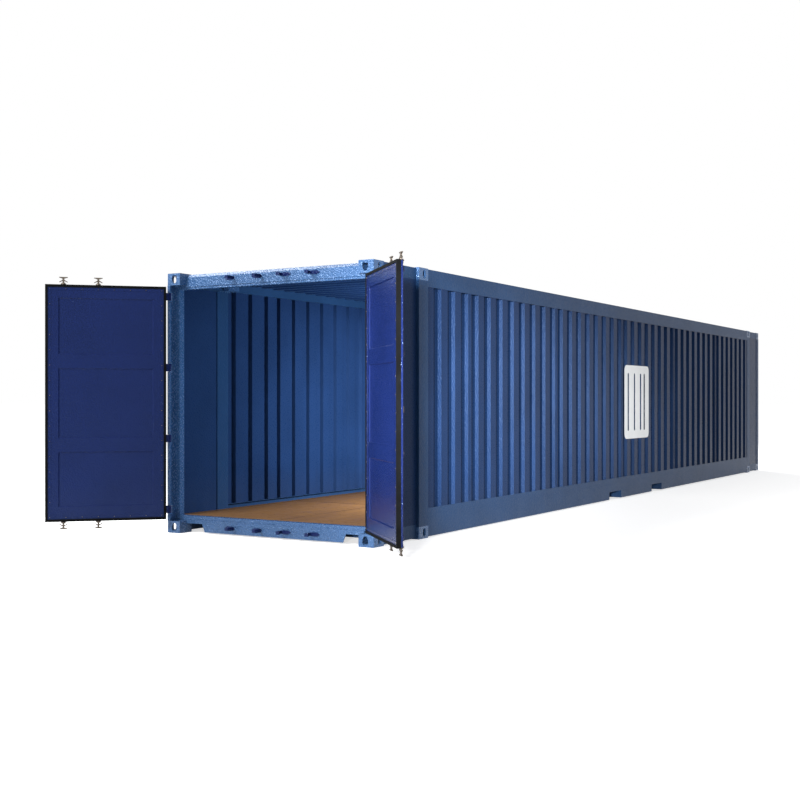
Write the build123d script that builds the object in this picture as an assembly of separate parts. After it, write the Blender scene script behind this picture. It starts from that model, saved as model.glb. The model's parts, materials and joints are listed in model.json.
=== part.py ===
from build123d import *
import math
import os

# Pallet-wide steel box container, 45 ft long and 8 ft 6 in high, with two open end doors.
# X runs along the length with the doors at -X, Z is up, and Z = 0 is the underside of the
# corner castings. All sizes are in millimetres.

# Overall sizes
LENGTH = 13716.0
HEIGHT = 2591.0
END_FRAME_WIDTH = 2438.0
BODY_OVERHANG = 31.0
EXTENSION_LENGTH = 762.0
TOP_SETBACK = 6.0
BOTTOM_SETBACK = 12.5

# Corner castings
CASTING_LENGTH = 178.0
CASTING_WIDTH = 162.0
CASTING_HEIGHT = 118.0
CASTING_PLATE = 28.0
CASTING_WALL = 16.0
APERTURE_FROM_END = 103.5
APERTURE_FROM_SIDE = 89.5
APERTURE_LENGTH = 124.5
APERTURE_WIDTH = 63.5
SIDE_HOLE_WIDTH = 51.0
SIDE_HOLE_HEIGHT = 79.5
END_HOLE_WIDTH = 63.5
END_HOLE_HEIGHT = 78.0
CASTING_EDGE_RADIUS = 8.0

# Sheet and plate thicknesses
WALL_SHEET = 2.0
RAIL_WALL = 5.0
PLATE = 4.0

# Side walls
WALL_END_MARGIN = 180.0
FLUTE_PITCH = 286.0
SEAM_PITCH = 230.0
FLUTES_PER_PANEL = 8
FLUTES_BEFORE_SEAM = 3
FLUTE_DEPTH = 36.0
FLUTE_FLOOR = 130.0
FLUTE_SLOPE = 13.0

# Rails
TOP_RAIL_HEIGHT = 168.0
TOP_RAIL_TUBE_HEIGHT = 100.0
TOP_RAIL_WIDTH = 60.0
BOTTOM_RAIL_HEIGHT = 204.0
BOTTOM_FLANGE = 50.0
KICK_STRIP_HEIGHT = 70.0
KICK_STRIP_THICKNESS = 3.0
EXTENSION_RAIL_WIDTH = 100.0

# Floor and base
FLOOR_TOP = 168.0
FLOOR_THICKNESS = 28.0
CROSSMEMBER_PITCH = 296.0
CROSSMEMBER_FLANGE = 45.0
CROSSMEMBER_WALL = 4.0
POCKET_OFFSET = 845.0
POCKET_WIDTH = 440.0
POCKET_HEIGHT = 98.0
POCKET_PLATE = 6.0

# Roof
ROOF_PITCH = 208.0
ROOF_DEPTH = 18.0
ROOF_FLOOR = 70.0
ROOF_SLOPE = 30.0
ROOF_BEAM_WIDTH = 100.0
ROOF_BEAM_HEIGHT = 60.0

# Closed end
REAR_POST_SIZE = 150.0
REAR_POST_WALL = 6.0
REAR_BEAM_DEPTH = 80.0
REAR_FLUTE_PITCH = 250.0
REAR_FLUTE_DEPTH = 40.0
REAR_FLUTE_FLOOR = 90.0
REAR_FLUTE_SLOPE = 25.0
REAR_SHEET_INSET = 8.0

# Door frame
DOOR_SEAT_WIDTH = 52.0
POST_PLATE = 12.0
POST_LIP_WIDTH = 30.0
SEAT_DEPTH = 110.0
POST_BOX_WALL = 8.0
BEAM_FACE_DEPTH = 100.0
HEADER_DROP = 132.0
HEADER_STOP_DROP = 155.0
HEADER_FACE_DROP = 37.0
GUTTER_DEPTH = 150.0
SILL_SHELF = 133.0
SILL_UNDERSIDE = 94.0
SKIRT_INSET = 202.0
SKIRT_SLANT = 32.0
SKIRT_PLATE = 6.0

# Doors
DOOR_OPEN_ANGLE = 135.0
LEAF_FACE_DEPTH = 50.0
LEAF_THICKNESS = 48.0
LEAF_BOTTOM = 139.0
LEAF_TOP_DROP = 137.0
LEAF_CENTRE_GAP = 16.0
LEAF_PIN_GAP = 40.0
LEAF_SIDE_MEMBER = 110.0
LEAF_TOP_MEMBER = 115.0
LEAF_BOTTOM_MEMBER = 130.0
LEAF_CROSSBAR = 105.0
LEAF_CROSSBAR_SHARES = (0.3235, 0.6765)
LEAF_FRAME_WALL = 4.0
SKIN = 3.0
SKIN_PRESSING_DEPTH = 8.0
SKIN_PRESSING_SLOPE = 8.0
SKIN_PRESSING_MARGIN = 14.0
GASKET_EDGE = 6.0
GASKET_WIDTH = 24.0
GASKET_LIP = 6.0
GASKET_EDGE_DEPTH = 30.0

# Hinges
PIN_DEPTH = 20.0
PIN_INSET = 14.0
PIN_RADIUS = 9.0
PIN_CLEARANCE = 0.3
EYE_RADIUS = 14.0
HINGE_COUNT = 4
HINGE_FROM_LEAF_END = 94.0
BLADE_HEIGHT = 75.0
BLADE_THICKNESS = 10.0
BLADE_LENGTH = 190.0
LUG_THICKNESS = 12.0
LUG_CLEARANCE = 1.0
LUG_DEPTH = 38.0
NOTCH_DEPTH = 56.0

# Locking bars
BAR_SHARES = (0.153, 0.438)
BAR_RADIUS = 17.0
BAR_STANDOFF = 25.0
BAR_CLEARANCE = 0.5
GUIDE_WIDTH = 52.0
GUIDE_HEIGHT = 46.0
GUIDE_WALL = 7.0
CAM_HUB_RADIUS = 20.0
CAM_HUB_HEIGHT = 36.0
CAM_HUB_OVERHANG = 22.0
CAM_REACH = 80.0
CAM_THICKNESS = 14.0
CAM_HALF_WIDTH = 42.0
CAM_ARM = 12.0
CAM_CLAW_HALF_WIDTH = 39.0
CAM_CLAW_DROP = 26.0
CAM_CLAW_ROOT = 52.0
CAM_NECK_HALF_WIDTH = 9.0
KEEPER_LEVEL = 68.0
KEEPER_HEIGHT = 30.0
KEEPER_BASE_LENGTH = 116.0
KEEPER_BASE_HEIGHT = 36.0
KEEPER_PLATE = 8.0
KEEPER_CHEEK = 6.0
KEEPER_CLEARANCE = 7.0
HANDLE_CLEARANCE = 35.0
HANDLE_THICKNESS = 12.0
HANDLE_HEIGHT = 30.0
HANDLE_HUB_RADIUS = 25.0
HANDLE_HUB_HEIGHT = 50.0
HANDLE_SHARES = (0.48, 0.415)

# Places worked out from the sizes above
END_X = LENGTH / 2
INBOARD_X = END_X - EXTENSION_LENGTH
INBOARD_INNER_X = INBOARD_X - CASTING_LENGTH
CASTING_INNER_X = END_X - CASTING_LENGTH
FRAME_Y = END_FRAME_WIDTH / 2
BODY_Y = FRAME_Y + BODY_OVERHANG
CASTING_INNER_Y = FRAME_Y - CASTING_WIDTH
POST_BOTTOM = CASTING_HEIGHT
POST_TOP = HEIGHT - CASTING_HEIGHT
ROOF_TOP = HEIGHT - TOP_SETBACK
BASE = BOTTOM_SETBACK
RAIL_TOP = BASE + BOTTOM_RAIL_HEIGHT
SHEET_OUTER_Y = BODY_Y - RAIL_WALL
SHEET_INNER_Y = SHEET_OUTER_Y - FLUTE_DEPTH - WALL_SHEET
FLOOR_UNDERSIDE = FLOOR_TOP - FLOOR_THICKNESS
TOP_RAIL_INNER_Y = BODY_Y - TOP_RAIL_WIDTH
TUBE_UNDERSIDE = ROOF_TOP - TOP_RAIL_TUBE_HEIGHT
EXTENSION_RAIL_Y = FRAME_Y - EXTENSION_RAIL_WIDTH
REAR_POST_X = END_X - REAR_POST_SIZE
REAR_POST_Y = FRAME_Y - REAR_POST_SIZE
REAR_BEAM_X = END_X - REAR_BEAM_DEPTH
PLATE_INNER_Y = FRAME_Y - POST_PLATE
OPENING_Y = PLATE_INNER_Y - DOOR_SEAT_WIDTH
HEADER_UNDERSIDE = HEIGHT - HEADER_DROP
HEADER_STOP_UNDERSIDE = HEIGHT - HEADER_STOP_DROP
HEADER_FACE_TOP = HEIGHT - HEADER_FACE_DROP
PIN_X = -END_X + PIN_DEPTH
PIN_Y = FRAME_Y - PIN_INSET
LEAF_HINGE_Y = PIN_Y - LEAF_PIN_GAP
LEAF_FREE_Y = LEAF_CENTRE_GAP / 2
LEAF_BACK_DEPTH = LEAF_FACE_DEPTH + LEAF_THICKNESS
BAR_DEPTH = LEAF_FACE_DEPTH - BAR_STANDOFF
LEAF_TOP = HEIGHT - LEAF_TOP_DROP
LEAF_HEIGHT = LEAF_TOP - LEAF_BOTTOM
BAR_OFFSETS = tuple(share * LEAF_HINGE_Y for share in BAR_SHARES)
HANDLE_LENGTH = BAR_OFFSETS[1] - BAR_OFFSETS[0] - BAR_RADIUS - HANDLE_CLEARANCE
HANDLE_LEVELS = tuple(LEAF_BOTTOM + share * LEAF_HEIGHT for share in HANDLE_SHARES)
CROSSBAR_LEVELS = tuple(LEAF_BOTTOM + share * LEAF_HEIGHT for share in LEAF_CROSSBAR_SHARES)
HINGE_FIRST = LEAF_BOTTOM + HINGE_FROM_LEAF_END
HINGE_LAST = LEAF_TOP - HINGE_FROM_LEAF_END
HINGE_LEVELS = [
    HINGE_FIRST + (HINGE_LAST - HINGE_FIRST) * i / (HINGE_COUNT - 1) for i in range(HINGE_COUNT)
]
PRESSING_BOUNDS = (
    (LEAF_BOTTOM + LEAF_BOTTOM_MEMBER, CROSSBAR_LEVELS[0] - LEAF_CROSSBAR / 2),
    (CROSSBAR_LEVELS[0] + LEAF_CROSSBAR / 2, CROSSBAR_LEVELS[1] - LEAF_CROSSBAR / 2),
    (CROSSBAR_LEVELS[1] + LEAF_CROSSBAR / 2, LEAF_TOP - LEAF_TOP_MEMBER),
)


def block(x0, x1, y0, y1, z0, z1):
    """Rectangular block between two corners."""
    size = Box(x1 - x0, y1 - y0, z1 - z0)
    return Pos((x0 + x1) / 2, (y0 + y1) / 2, (z0 + z1) / 2) * size


def prism_x(outline, x0, x1):
    """Outline of (y, z) points pushed from x0 to x1."""
    plane = Plane((x0, 0, 0), x_dir=(0, 1, 0), z_dir=(1, 0, 0))
    return extrude(plane * Polygon(*outline, align=None), amount=x1 - x0, dir=(1, 0, 0))


def prism_y(outline, y0, y1):
    """Outline of (x, z) points pushed from y0 to y1."""
    plane = Plane((0, y0, 0), x_dir=(1, 0, 0), z_dir=(0, -1, 0))
    return extrude(plane * Polygon(*outline, align=None), amount=y1 - y0, dir=(0, 1, 0))


def prism_z(outline, z0, z1):
    """Outline of (x, y) points pushed from z0 to z1."""
    plane = Plane((0, 0, z0), x_dir=(1, 0, 0), z_dir=(0, 0, 1))
    return extrude(plane * Polygon(*outline, align=None), amount=z1 - z0, dir=(0, 0, 1))


def tube_x(x0, x1, y0, y1, z0, z1, wall):
    """Rectangular hollow section along X, open at both ends."""
    outer = block(x0, x1, y0, y1, z0, z1)
    return outer - block(x0 - 1, x1 + 1, y0 + wall, y1 - wall, z0 + wall, z1 - wall)


def tube_y(x0, x1, y0, y1, z0, z1, wall):
    """Rectangular hollow section along Y, open at both ends."""
    outer = block(x0, x1, y0, y1, z0, z1)
    return outer - block(x0 + wall, x1 - wall, y0 - 1, y1 + 1, z0 + wall, z1 - wall)


def tube_z(x0, x1, y0, y1, z0, z1, wall):
    """Rectangular hollow section along Z, open at both ends."""
    outer = block(x0, x1, y0, y1, z0, z1)
    return outer - block(x0 + wall, x1 - wall, y0 + wall, y1 - wall, z0 - 1, z1 + 1)


def flip_x(shape):
    return mirror(shape, about=Plane.YZ)


def flip_y(shape):
    return mirror(shape, about=Plane.XZ)


def both_sides(shape):
    return [shape, flip_y(shape)]


def corrugated_outline(start, end, flutes, depth, slope, floor, sheet):
    """Closed outline of a folded sheet: flat at 0, each flute sunk by depth, material below."""
    corner = sheet * math.tan(math.atan2(depth, slope) / 2)
    face = [(start, 0.0)]
    back = [(start, -sheet)]
    for centre in flutes:
        half = floor / 2
        face += [(centre - half - slope, 0.0), (centre - half, -depth)]
        face += [(centre + half, -depth), (centre + half + slope, 0.0)]
        back += [(centre - half - slope - corner, -sheet), (centre - half - corner, -depth - sheet)]
        back += [(centre + half + corner, -depth - sheet), (centre + half + slope + corner, -sheet)]
    face.append((end, 0.0))
    back.append((end, -sheet))
    return face + back[::-1]


def side_flutes():
    """Flute centres along a side wall, with a narrow gap at each seam between panels."""
    centres = [0.0]
    while centres[-1] + FLUTE_PITCH <= 2 * (INBOARD_INNER_X - WALL_END_MARGIN):
        at_seam = (len(centres) - FLUTES_BEFORE_SEAM) % FLUTES_PER_PANEL == 0
        centres.append(centres[-1] + (SEAM_PITCH if at_seam else FLUTE_PITCH))
    middle = (centres[0] + centres[-1]) / 2
    return [c - middle for c in centres]


def even_spread(length, pitch, margin):
    """Places centred on 0, at about the given pitch, that keep margin free at each end."""
    gaps = int((length - 2 * margin) / pitch)
    return [(i - gaps / 2) * pitch for i in range(gaps + 1)]


def slot_tool(length, width, depth):
    return extrude(SlotOverall(length, width), amount=depth)


def shield_tool(width, height, depth):
    """Aperture with a flat top, straight cheeks and a pointed foot."""
    half = width / 2
    top = height / 2
    outline = [(-half * 0.7, top), (half * 0.7, top), (half, top * 0.5), (half, -top * 0.2)]
    outline += [(half * 0.45, -top), (-half * 0.45, -top), (-half, -top * 0.2), (-half, top * 0.5)]
    return extrude(Polygon(*outline, align=None), amount=depth, dir=(0, 0, 1))


def corner_casting(width, end_hole):
    """Top casting with its outer corner at the origin and its body towards -X, -Y and -Z."""
    body = block(-CASTING_LENGTH, 0, -width, 0, -CASTING_HEIGHT, 0)
    corner = body.edges().filter_by(Axis.Z).sort_by(Axis.X)[-2:].sort_by(Axis.Y)[-1]
    body = fillet(corner, CASTING_EDGE_RADIUS)
    body -= block(
        -CASTING_LENGTH + CASTING_WALL, -CASTING_WALL,
        -width + CASTING_WALL, -CASTING_WALL,
        -CASTING_HEIGHT + CASTING_WALL, -CASTING_PLATE,
    )
    side_inset = APERTURE_FROM_SIDE + width - CASTING_WIDTH
    top_slot = slot_tool(APERTURE_LENGTH, APERTURE_WIDTH, CASTING_PLATE + 2)
    body -= Pos(-APERTURE_FROM_END, -side_inset, -CASTING_PLATE - 1) * top_slot
    side_plane = Plane((-APERTURE_FROM_END, 1, -CASTING_HEIGHT / 2), x_dir=(0, 0, 1), z_dir=(0, -1, 0))
    body -= side_plane * slot_tool(SIDE_HOLE_HEIGHT, SIDE_HOLE_WIDTH, CASTING_WALL + 2)
    if end_hole:
        end_plane = Plane((1, -side_inset, -CASTING_HEIGHT / 2), x_dir=(0, -1, 0), z_dir=(-1, 0, 0))
        body -= end_plane * shield_tool(END_HOLE_WIDTH, END_HOLE_HEIGHT, CASTING_WALL + 2)
    return body


def casting_set(corner_x, corner_y, width, end_hole):
    """Four castings at the closed end: top and bottom on both sides."""
    top = Pos(corner_x, corner_y, HEIGHT) * corner_casting(width, end_hole)
    bottom = mirror(top, about=Plane((0, 0, HEIGHT / 2)))
    return both_sides(top) + both_sides(bottom)


def door_post():
    """Left door post: outer plate with a front lip, a seat box at the back and the hinge lugs."""
    front = -END_X
    back = front + CASTING_LENGTH
    plate = block(front, back, PLATE_INNER_Y, FRAME_Y, POST_BOTTOM, POST_TOP)
    lip = block(front, front + POST_PLATE, FRAME_Y - POST_LIP_WIDTH, PLATE_INNER_Y, POST_BOTTOM, POST_TOP)
    seat = tube_z(front + SEAT_DEPTH, back, OPENING_Y, PLATE_INNER_Y, POST_BOTTOM, HEADER_UNDERSIDE,
                  POST_BOX_WALL)
    post = plate + lip + seat
    notch_half = BLADE_HEIGHT / 2 + LUG_CLEARANCE
    for level in HINGE_LEVELS:
        post -= block(front, front + NOTCH_DEPTH, FRAME_Y - POST_LIP_WIDTH, FRAME_Y,
                      level - notch_half, level + notch_half)
        post += hinge_lugs(level)
    return post


def hinge_lugs(level):
    """Two lugs in the corner behind the lip, with the pin between them."""
    inner = level + BLADE_HEIGHT / 2 + LUG_CLEARANCE
    upper = block(-END_X, -END_X + LUG_DEPTH, FRAME_Y - POST_LIP_WIDTH, FRAME_Y, inner, inner + LUG_THICKNESS)
    lower = mirror(upper, about=Plane((0, 0, level)))
    pin = Pos(PIN_X, PIN_Y, level) * Cylinder(PIN_RADIUS, BLADE_HEIGHT + 2 * LUG_CLEARANCE)
    return upper + lower + pin


def door_header():
    """Header box with a sloped roof edge and a stop behind the top of the leaves."""
    front = -END_X
    back = front + CASTING_LENGTH
    stop = front + SEAT_DEPTH
    face = front + BEAM_FACE_DEPTH
    outline = [(face, HEADER_UNDERSIDE), (face, HEADER_FACE_TOP), (front + GUTTER_DEPTH, ROOF_TOP)]
    outline += [(back, ROOF_TOP), (back, HEADER_STOP_UNDERSIDE), (stop, HEADER_STOP_UNDERSIDE)]
    outline += [(stop, HEADER_UNDERSIDE)]
    beam = prism_y(outline, -CASTING_INNER_Y, CASTING_INNER_Y)
    wall = RAIL_WALL
    hollow = [(face + wall, HEADER_UNDERSIDE + wall), (face + wall, HEADER_FACE_TOP - wall)]
    hollow += [(front + GUTTER_DEPTH, ROOF_TOP - 2 * wall), (back - wall, ROOF_TOP - 2 * wall)]
    hollow += [(back - wall, HEADER_STOP_UNDERSIDE + wall), (stop + wall, HEADER_STOP_UNDERSIDE + wall)]
    hollow += [(stop + wall, HEADER_UNDERSIDE + wall)]
    beam -= prism_y(hollow, -CASTING_INNER_Y - 1, CASTING_INNER_Y + 1)
    lap = block(face, back, CASTING_INNER_Y, PLATE_INNER_Y, HEADER_UNDERSIDE, POST_TOP)
    flange = block(stop, back, CASTING_INNER_Y, OPENING_Y, HEADER_STOP_UNDERSIDE, HEADER_UNDERSIDE)
    for end in both_sides(lap) + both_sides(flange):
        beam += end
    return beam


def door_sill():
    """Sill with a shelf under the leaves, a stop behind them and a skirt with slanted ends."""
    front = -END_X
    back = front + CASTING_LENGTH
    stop = front + SEAT_DEPTH
    face = front + BEAM_FACE_DEPTH
    outline = [(face, SILL_UNDERSIDE), (face, SILL_SHELF), (stop, SILL_SHELF), (stop, FLOOR_TOP)]
    outline += [(back, FLOOR_TOP), (back, SILL_UNDERSIDE)]
    sill = prism_y(outline, -CASTING_INNER_Y, CASTING_INNER_Y)
    wall = RAIL_WALL
    hollow = [(face + wall, SILL_UNDERSIDE + wall), (face + wall, SILL_SHELF - wall)]
    hollow += [(stop + wall, SILL_SHELF - wall), (stop + wall, FLOOR_TOP - wall)]
    hollow += [(back - wall, FLOOR_TOP - wall), (back - wall, SILL_UNDERSIDE + wall)]
    sill -= prism_y(hollow, -CASTING_INNER_Y - 1, CASTING_INNER_Y + 1)
    for end in both_sides(block(stop, back, CASTING_INNER_Y, OPENING_Y, POST_BOTTOM, FLOOR_TOP)):
        sill += end
    top_y = CASTING_INNER_Y - SKIRT_INSET
    low_y = top_y - SKIRT_SLANT
    skirt = [(-top_y, SILL_UNDERSIDE), (-low_y, BASE), (low_y, BASE), (top_y, SILL_UNDERSIDE)]
    return sill + prism_x(skirt, face, face + SKIRT_PLATE)


def keeper(offset, level):
    """Keeper on the left side: a pointed base plate with a hook on the side of the centre line."""
    face = -END_X + BEAM_FACE_DEPTH
    lip_back = -END_X + BAR_DEPTH - CAM_THICKNESS / 2 - KEEPER_CLEARANCE
    cheek_y = offset - CAM_HALF_WIDTH - KEEPER_CLEARANCE
    lip_y = offset - CAM_THICKNESS / 2 - KEEPER_CLEARANCE
    outline = [(face, cheek_y - KEEPER_CHEEK), (lip_back - KEEPER_CHEEK, cheek_y - KEEPER_CHEEK)]
    outline += [(lip_back - KEEPER_CHEEK, lip_y - KEEPER_CHEEK / 2), (lip_back, lip_y)]
    outline += [(lip_back, cheek_y), (face, cheek_y)]
    hook = prism_z(outline, level - KEEPER_HEIGHT / 2, level + KEEPER_HEIGHT / 2)
    half = KEEPER_BASE_LENGTH / 2
    tall = KEEPER_BASE_HEIGHT / 2
    base = [(-half, -tall / 4), (-half, tall / 4), (-half / 2, tall), (half / 2, tall)]
    base += [(half, tall / 4), (half, -tall / 4), (half / 2, -tall), (-half / 2, -tall)]
    centre = offset - KEEPER_CLEARANCE
    plate = prism_x([(centre + y, level + z) for y, z in base], face - KEEPER_PLATE, face)
    return plate + hook


def keepers():
    """Eight keepers, on the header and the sill, for both doors."""
    pieces = []
    for level in (LEAF_TOP + KEEPER_LEVEL, LEAF_BOTTOM - KEEPER_LEVEL):
        for offset in BAR_OFFSETS:
            pieces += both_sides(keeper(offset, level))
    return pieces


def side_wall():
    """Left side wall: one folded sheet between the inboard posts."""
    outline = corrugated_outline(-INBOARD_INNER_X, INBOARD_INNER_X, side_flutes(), FLUTE_DEPTH,
                                 FLUTE_SLOPE, FLUTE_FLOOR, WALL_SHEET)
    sheet = prism_z(outline, RAIL_TOP, TUBE_UNDERSIDE)
    return Pos(0, SHEET_OUTER_Y, 0) * sheet


def top_rail():
    """Left top rail: a tube with an apron that laps over the wall sheet."""
    length = INBOARD_INNER_X
    tube = tube_x(-length, length, TOP_RAIL_INNER_Y, BODY_Y, TUBE_UNDERSIDE, ROOF_TOP, RAIL_WALL)
    apron = block(-length, length, SHEET_OUTER_Y, BODY_Y, ROOF_TOP - TOP_RAIL_HEIGHT, TUBE_UNDERSIDE)
    return tube + apron


def bottom_rail():
    """Left bottom rail: a channel with a kick strip above it and two fork pocket mouths."""
    length = INBOARD_INNER_X
    wall = RAIL_WALL
    outline = [(BODY_Y, BASE), (BODY_Y, RAIL_TOP)]
    outline += [(SHEET_OUTER_Y + KICK_STRIP_THICKNESS, RAIL_TOP)]
    outline += [(SHEET_OUTER_Y + KICK_STRIP_THICKNESS, RAIL_TOP + KICK_STRIP_HEIGHT)]
    outline += [(SHEET_OUTER_Y, RAIL_TOP + KICK_STRIP_HEIGHT), (SHEET_OUTER_Y, RAIL_TOP)]
    outline += [(SHEET_INNER_Y, RAIL_TOP), (SHEET_INNER_Y, RAIL_TOP - wall)]
    outline += [(BODY_Y - wall, RAIL_TOP - wall), (BODY_Y - wall, BASE + wall)]
    outline += [(BODY_Y - BOTTOM_FLANGE, BASE + wall), (BODY_Y - BOTTOM_FLANGE, BASE)]
    rail = prism_x(outline, -length, length)
    for side in (-1, 1):
        centre = side * POCKET_OFFSET
        rail -= block(centre - POCKET_WIDTH / 2, centre + POCKET_WIDTH / 2,
                      BODY_Y - BOTTOM_FLANGE - 1, BODY_Y + 1, 0, BASE + POCKET_HEIGHT)
    return rail


def fork_tunnels():
    """Two pockets through the base, open underneath, that also carry the floor."""
    half = POCKET_WIDTH / 2
    roof = BASE + POCKET_HEIGHT
    tunnels = []
    for side in (-1, 1):
        c = side * POCKET_OFFSET
        outline = [(c - half - POCKET_PLATE, BASE), (c - half, BASE), (c - half, roof), (c + half, roof)]
        outline += [(c + half, BASE), (c + half + POCKET_PLATE, BASE)]
        outline += [(c + half + POCKET_PLATE, FLOOR_UNDERSIDE), (c + half, FLOOR_UNDERSIDE)]
        outline += [(c + half, roof + POCKET_PLATE), (c - half, roof + POCKET_PLATE)]
        outline += [(c - half, FLOOR_UNDERSIDE), (c - half - POCKET_PLATE, FLOOR_UNDERSIDE)]
        tunnel = prism_y(outline, -BODY_Y + RAIL_WALL, BODY_Y - RAIL_WALL)
        for cut in both_sides(block(c - half - POCKET_PLATE, c + half + POCKET_PLATE,
                                    BODY_Y - BOTTOM_FLANGE, BODY_Y, BASE, BASE + RAIL_WALL)):
            tunnel -= cut
        tunnels.append(tunnel)
    return tunnels


def crossmember(x, half_width):
    """Channel across the base, with its web at x and its flanges towards +X."""
    z0 = BASE + RAIL_WALL
    z1 = FLOOR_UNDERSIDE
    wall = CROSSMEMBER_WALL
    outline = [(x, z0), (x + CROSSMEMBER_FLANGE, z0), (x + CROSSMEMBER_FLANGE, z0 + wall)]
    outline += [(x + wall, z0 + wall), (x + wall, z1 - wall), (x + CROSSMEMBER_FLANGE, z1 - wall)]
    outline += [(x + CROSSMEMBER_FLANGE, z1), (x, z1)]
    return prism_y(outline, -half_width, half_width)


def crossmembers():
    """Channels under the floor, left out where the fork pockets run."""
    pieces = []
    clear = POCKET_WIDTH / 2 + POCKET_PLATE + CROSSMEMBER_FLANGE
    for x in even_spread(2 * INBOARD_INNER_X, CROSSMEMBER_PITCH, CROSSMEMBER_FLANGE):
        if abs(abs(x) - POCKET_OFFSET) > clear:
            pieces.append(crossmember(x, BODY_Y - RAIL_WALL))
    for side in (-1, 1):
        inboard = side * (INBOARD_X + INBOARD_INNER_X) / 2
        pieces.append(crossmember(inboard, CASTING_INNER_Y))
        extension = side * (CASTING_INNER_X + INBOARD_X) / 2
        pieces.append(crossmember(extension, EXTENSION_RAIL_Y))
    return pieces


def roof_sheet():
    """Main roof: a sheet with flutes across the container."""
    flutes = even_spread(2 * INBOARD_INNER_X, ROOF_PITCH, ROOF_PITCH / 2)
    outline = corrugated_outline(-INBOARD_INNER_X, INBOARD_INNER_X, flutes, ROOF_DEPTH, ROOF_SLOPE,
                                 ROOF_FLOOR, WALL_SHEET)
    return Pos(0, 0, ROOF_TOP) * prism_y(outline, -TOP_RAIL_INNER_Y, TOP_RAIL_INNER_Y)


def roof_end_plate(outer_x):
    """Flat roof plate at +X from the main roof to the end beam at outer_x."""
    middle = block(INBOARD_INNER_X, outer_x, -CASTING_INNER_Y, CASTING_INNER_Y, ROOF_TOP - PLATE, ROOF_TOP)
    wide = block(INBOARD_X, CASTING_INNER_X, -EXTENSION_RAIL_Y, EXTENSION_RAIL_Y,
                 ROOF_TOP - PLATE, ROOF_TOP)
    return middle + wide


def roof_beam():
    """Hollow beam across the roof between the inboard castings at +X."""
    centre = (INBOARD_X + INBOARD_INNER_X) / 2
    half = ROOF_BEAM_WIDTH / 2
    top = ROOF_TOP - PLATE
    return tube_y(centre - half, centre + half, -CASTING_INNER_Y, CASTING_INNER_Y,
                  top - ROOF_BEAM_HEIGHT, top, PLATE)


def extension_rails():
    """Short rails between the inboard castings and the end castings, left side at +X."""
    low = tube_x(INBOARD_X, CASTING_INNER_X, EXTENSION_RAIL_Y, FRAME_Y, BASE, FLOOR_UNDERSIDE, PLATE)
    high = tube_x(INBOARD_X, CASTING_INNER_X, EXTENSION_RAIL_Y, FRAME_Y, POST_TOP, ROOF_TOP, PLATE)
    return [low, high]


def extension_panel():
    return block(INBOARD_X, CASTING_INNER_X, FRAME_Y - PLATE, FRAME_Y, FLOOR_UNDERSIDE, POST_TOP)


def inboard_post():
    """Flat hollow post over the inboard castings, left side at +X."""
    return tube_z(INBOARD_INNER_X, INBOARD_X, SHEET_INNER_Y, BODY_Y, POST_BOTTOM, POST_TOP, RAIL_WALL)


def rear_post():
    return tube_z(REAR_POST_X, END_X, REAR_POST_Y, FRAME_Y, POST_BOTTOM, POST_TOP, REAR_POST_WALL)


def rear_sill():
    """Box beam across the closed end, with its top level with the floor."""
    low = tube_y(REAR_POST_X, END_X, -CASTING_INNER_Y, CASTING_INNER_Y, BASE, FLOOR_TOP, REAR_POST_WALL)
    for end in both_sides(block(REAR_POST_X, END_X, CASTING_INNER_Y, REAR_POST_Y, POST_BOTTOM, FLOOR_TOP)):
        low += end
    return low


def rear_header():
    return tube_y(REAR_BEAM_X, END_X, -CASTING_INNER_Y, CASTING_INNER_Y, POST_TOP, ROOF_TOP, PLATE)


def rear_wall():
    """Folded sheet of the closed end, between the posts."""
    flutes = even_spread(2 * REAR_POST_Y, REAR_FLUTE_PITCH, REAR_FLUTE_PITCH / 2)
    outline = corrugated_outline(-REAR_POST_Y, REAR_POST_Y, flutes, REAR_FLUTE_DEPTH, REAR_FLUTE_SLOPE,
                                 REAR_FLUTE_FLOOR, WALL_SHEET)
    turned = [(END_X - REAR_SHEET_INSET + y, x) for x, y in outline]
    return prism_z(turned, FLOOR_TOP, POST_TOP)


def floor_deck():
    return block(-CASTING_INNER_X, REAR_POST_X, -SHEET_INNER_Y, SHEET_INNER_Y, FLOOR_UNDERSIDE, FLOOR_TOP)


def leaf_ring(y_inset, z_inset, depth0, depth1):
    """Closed block over the leaf's outline, drawn in by the insets."""
    return block(-END_X + depth0, -END_X + depth1, LEAF_FREE_Y + y_inset, LEAF_HINGE_Y - y_inset,
                 LEAF_BOTTOM + z_inset, LEAF_TOP - z_inset)


def leaf_windows(grow, depth0, depth1):
    """The three bays of the leaf frame, each grown by the given amount."""
    bays = []
    for low, high in PRESSING_BOUNDS:
        bays.append(block(-END_X + depth0, -END_X + depth1, LEAF_FREE_Y + LEAF_SIDE_MEMBER - grow,
                          LEAF_HINGE_Y - LEAF_SIDE_MEMBER + grow, low - grow, high + grow))
    return bays


def leaf_frame():
    """Pressed channel frame with two crossbars, open towards the skin at its back."""
    skin_front = LEAF_BACK_DEPTH - SKIN
    frame = leaf_ring(GASKET_EDGE, GASKET_EDGE, LEAF_FACE_DEPTH, skin_front)
    wall = LEAF_FRAME_WALL
    pocket = leaf_ring(GASKET_EDGE + wall, GASKET_EDGE + wall, LEAF_FACE_DEPTH + wall, skin_front + 1)
    for bay in leaf_windows(wall, LEAF_FACE_DEPTH - 1, skin_front + 2):
        pocket -= bay
    frame -= pocket
    for bay in leaf_windows(0, LEAF_FACE_DEPTH - 1, skin_front + 1):
        frame -= bay
    return frame


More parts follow.
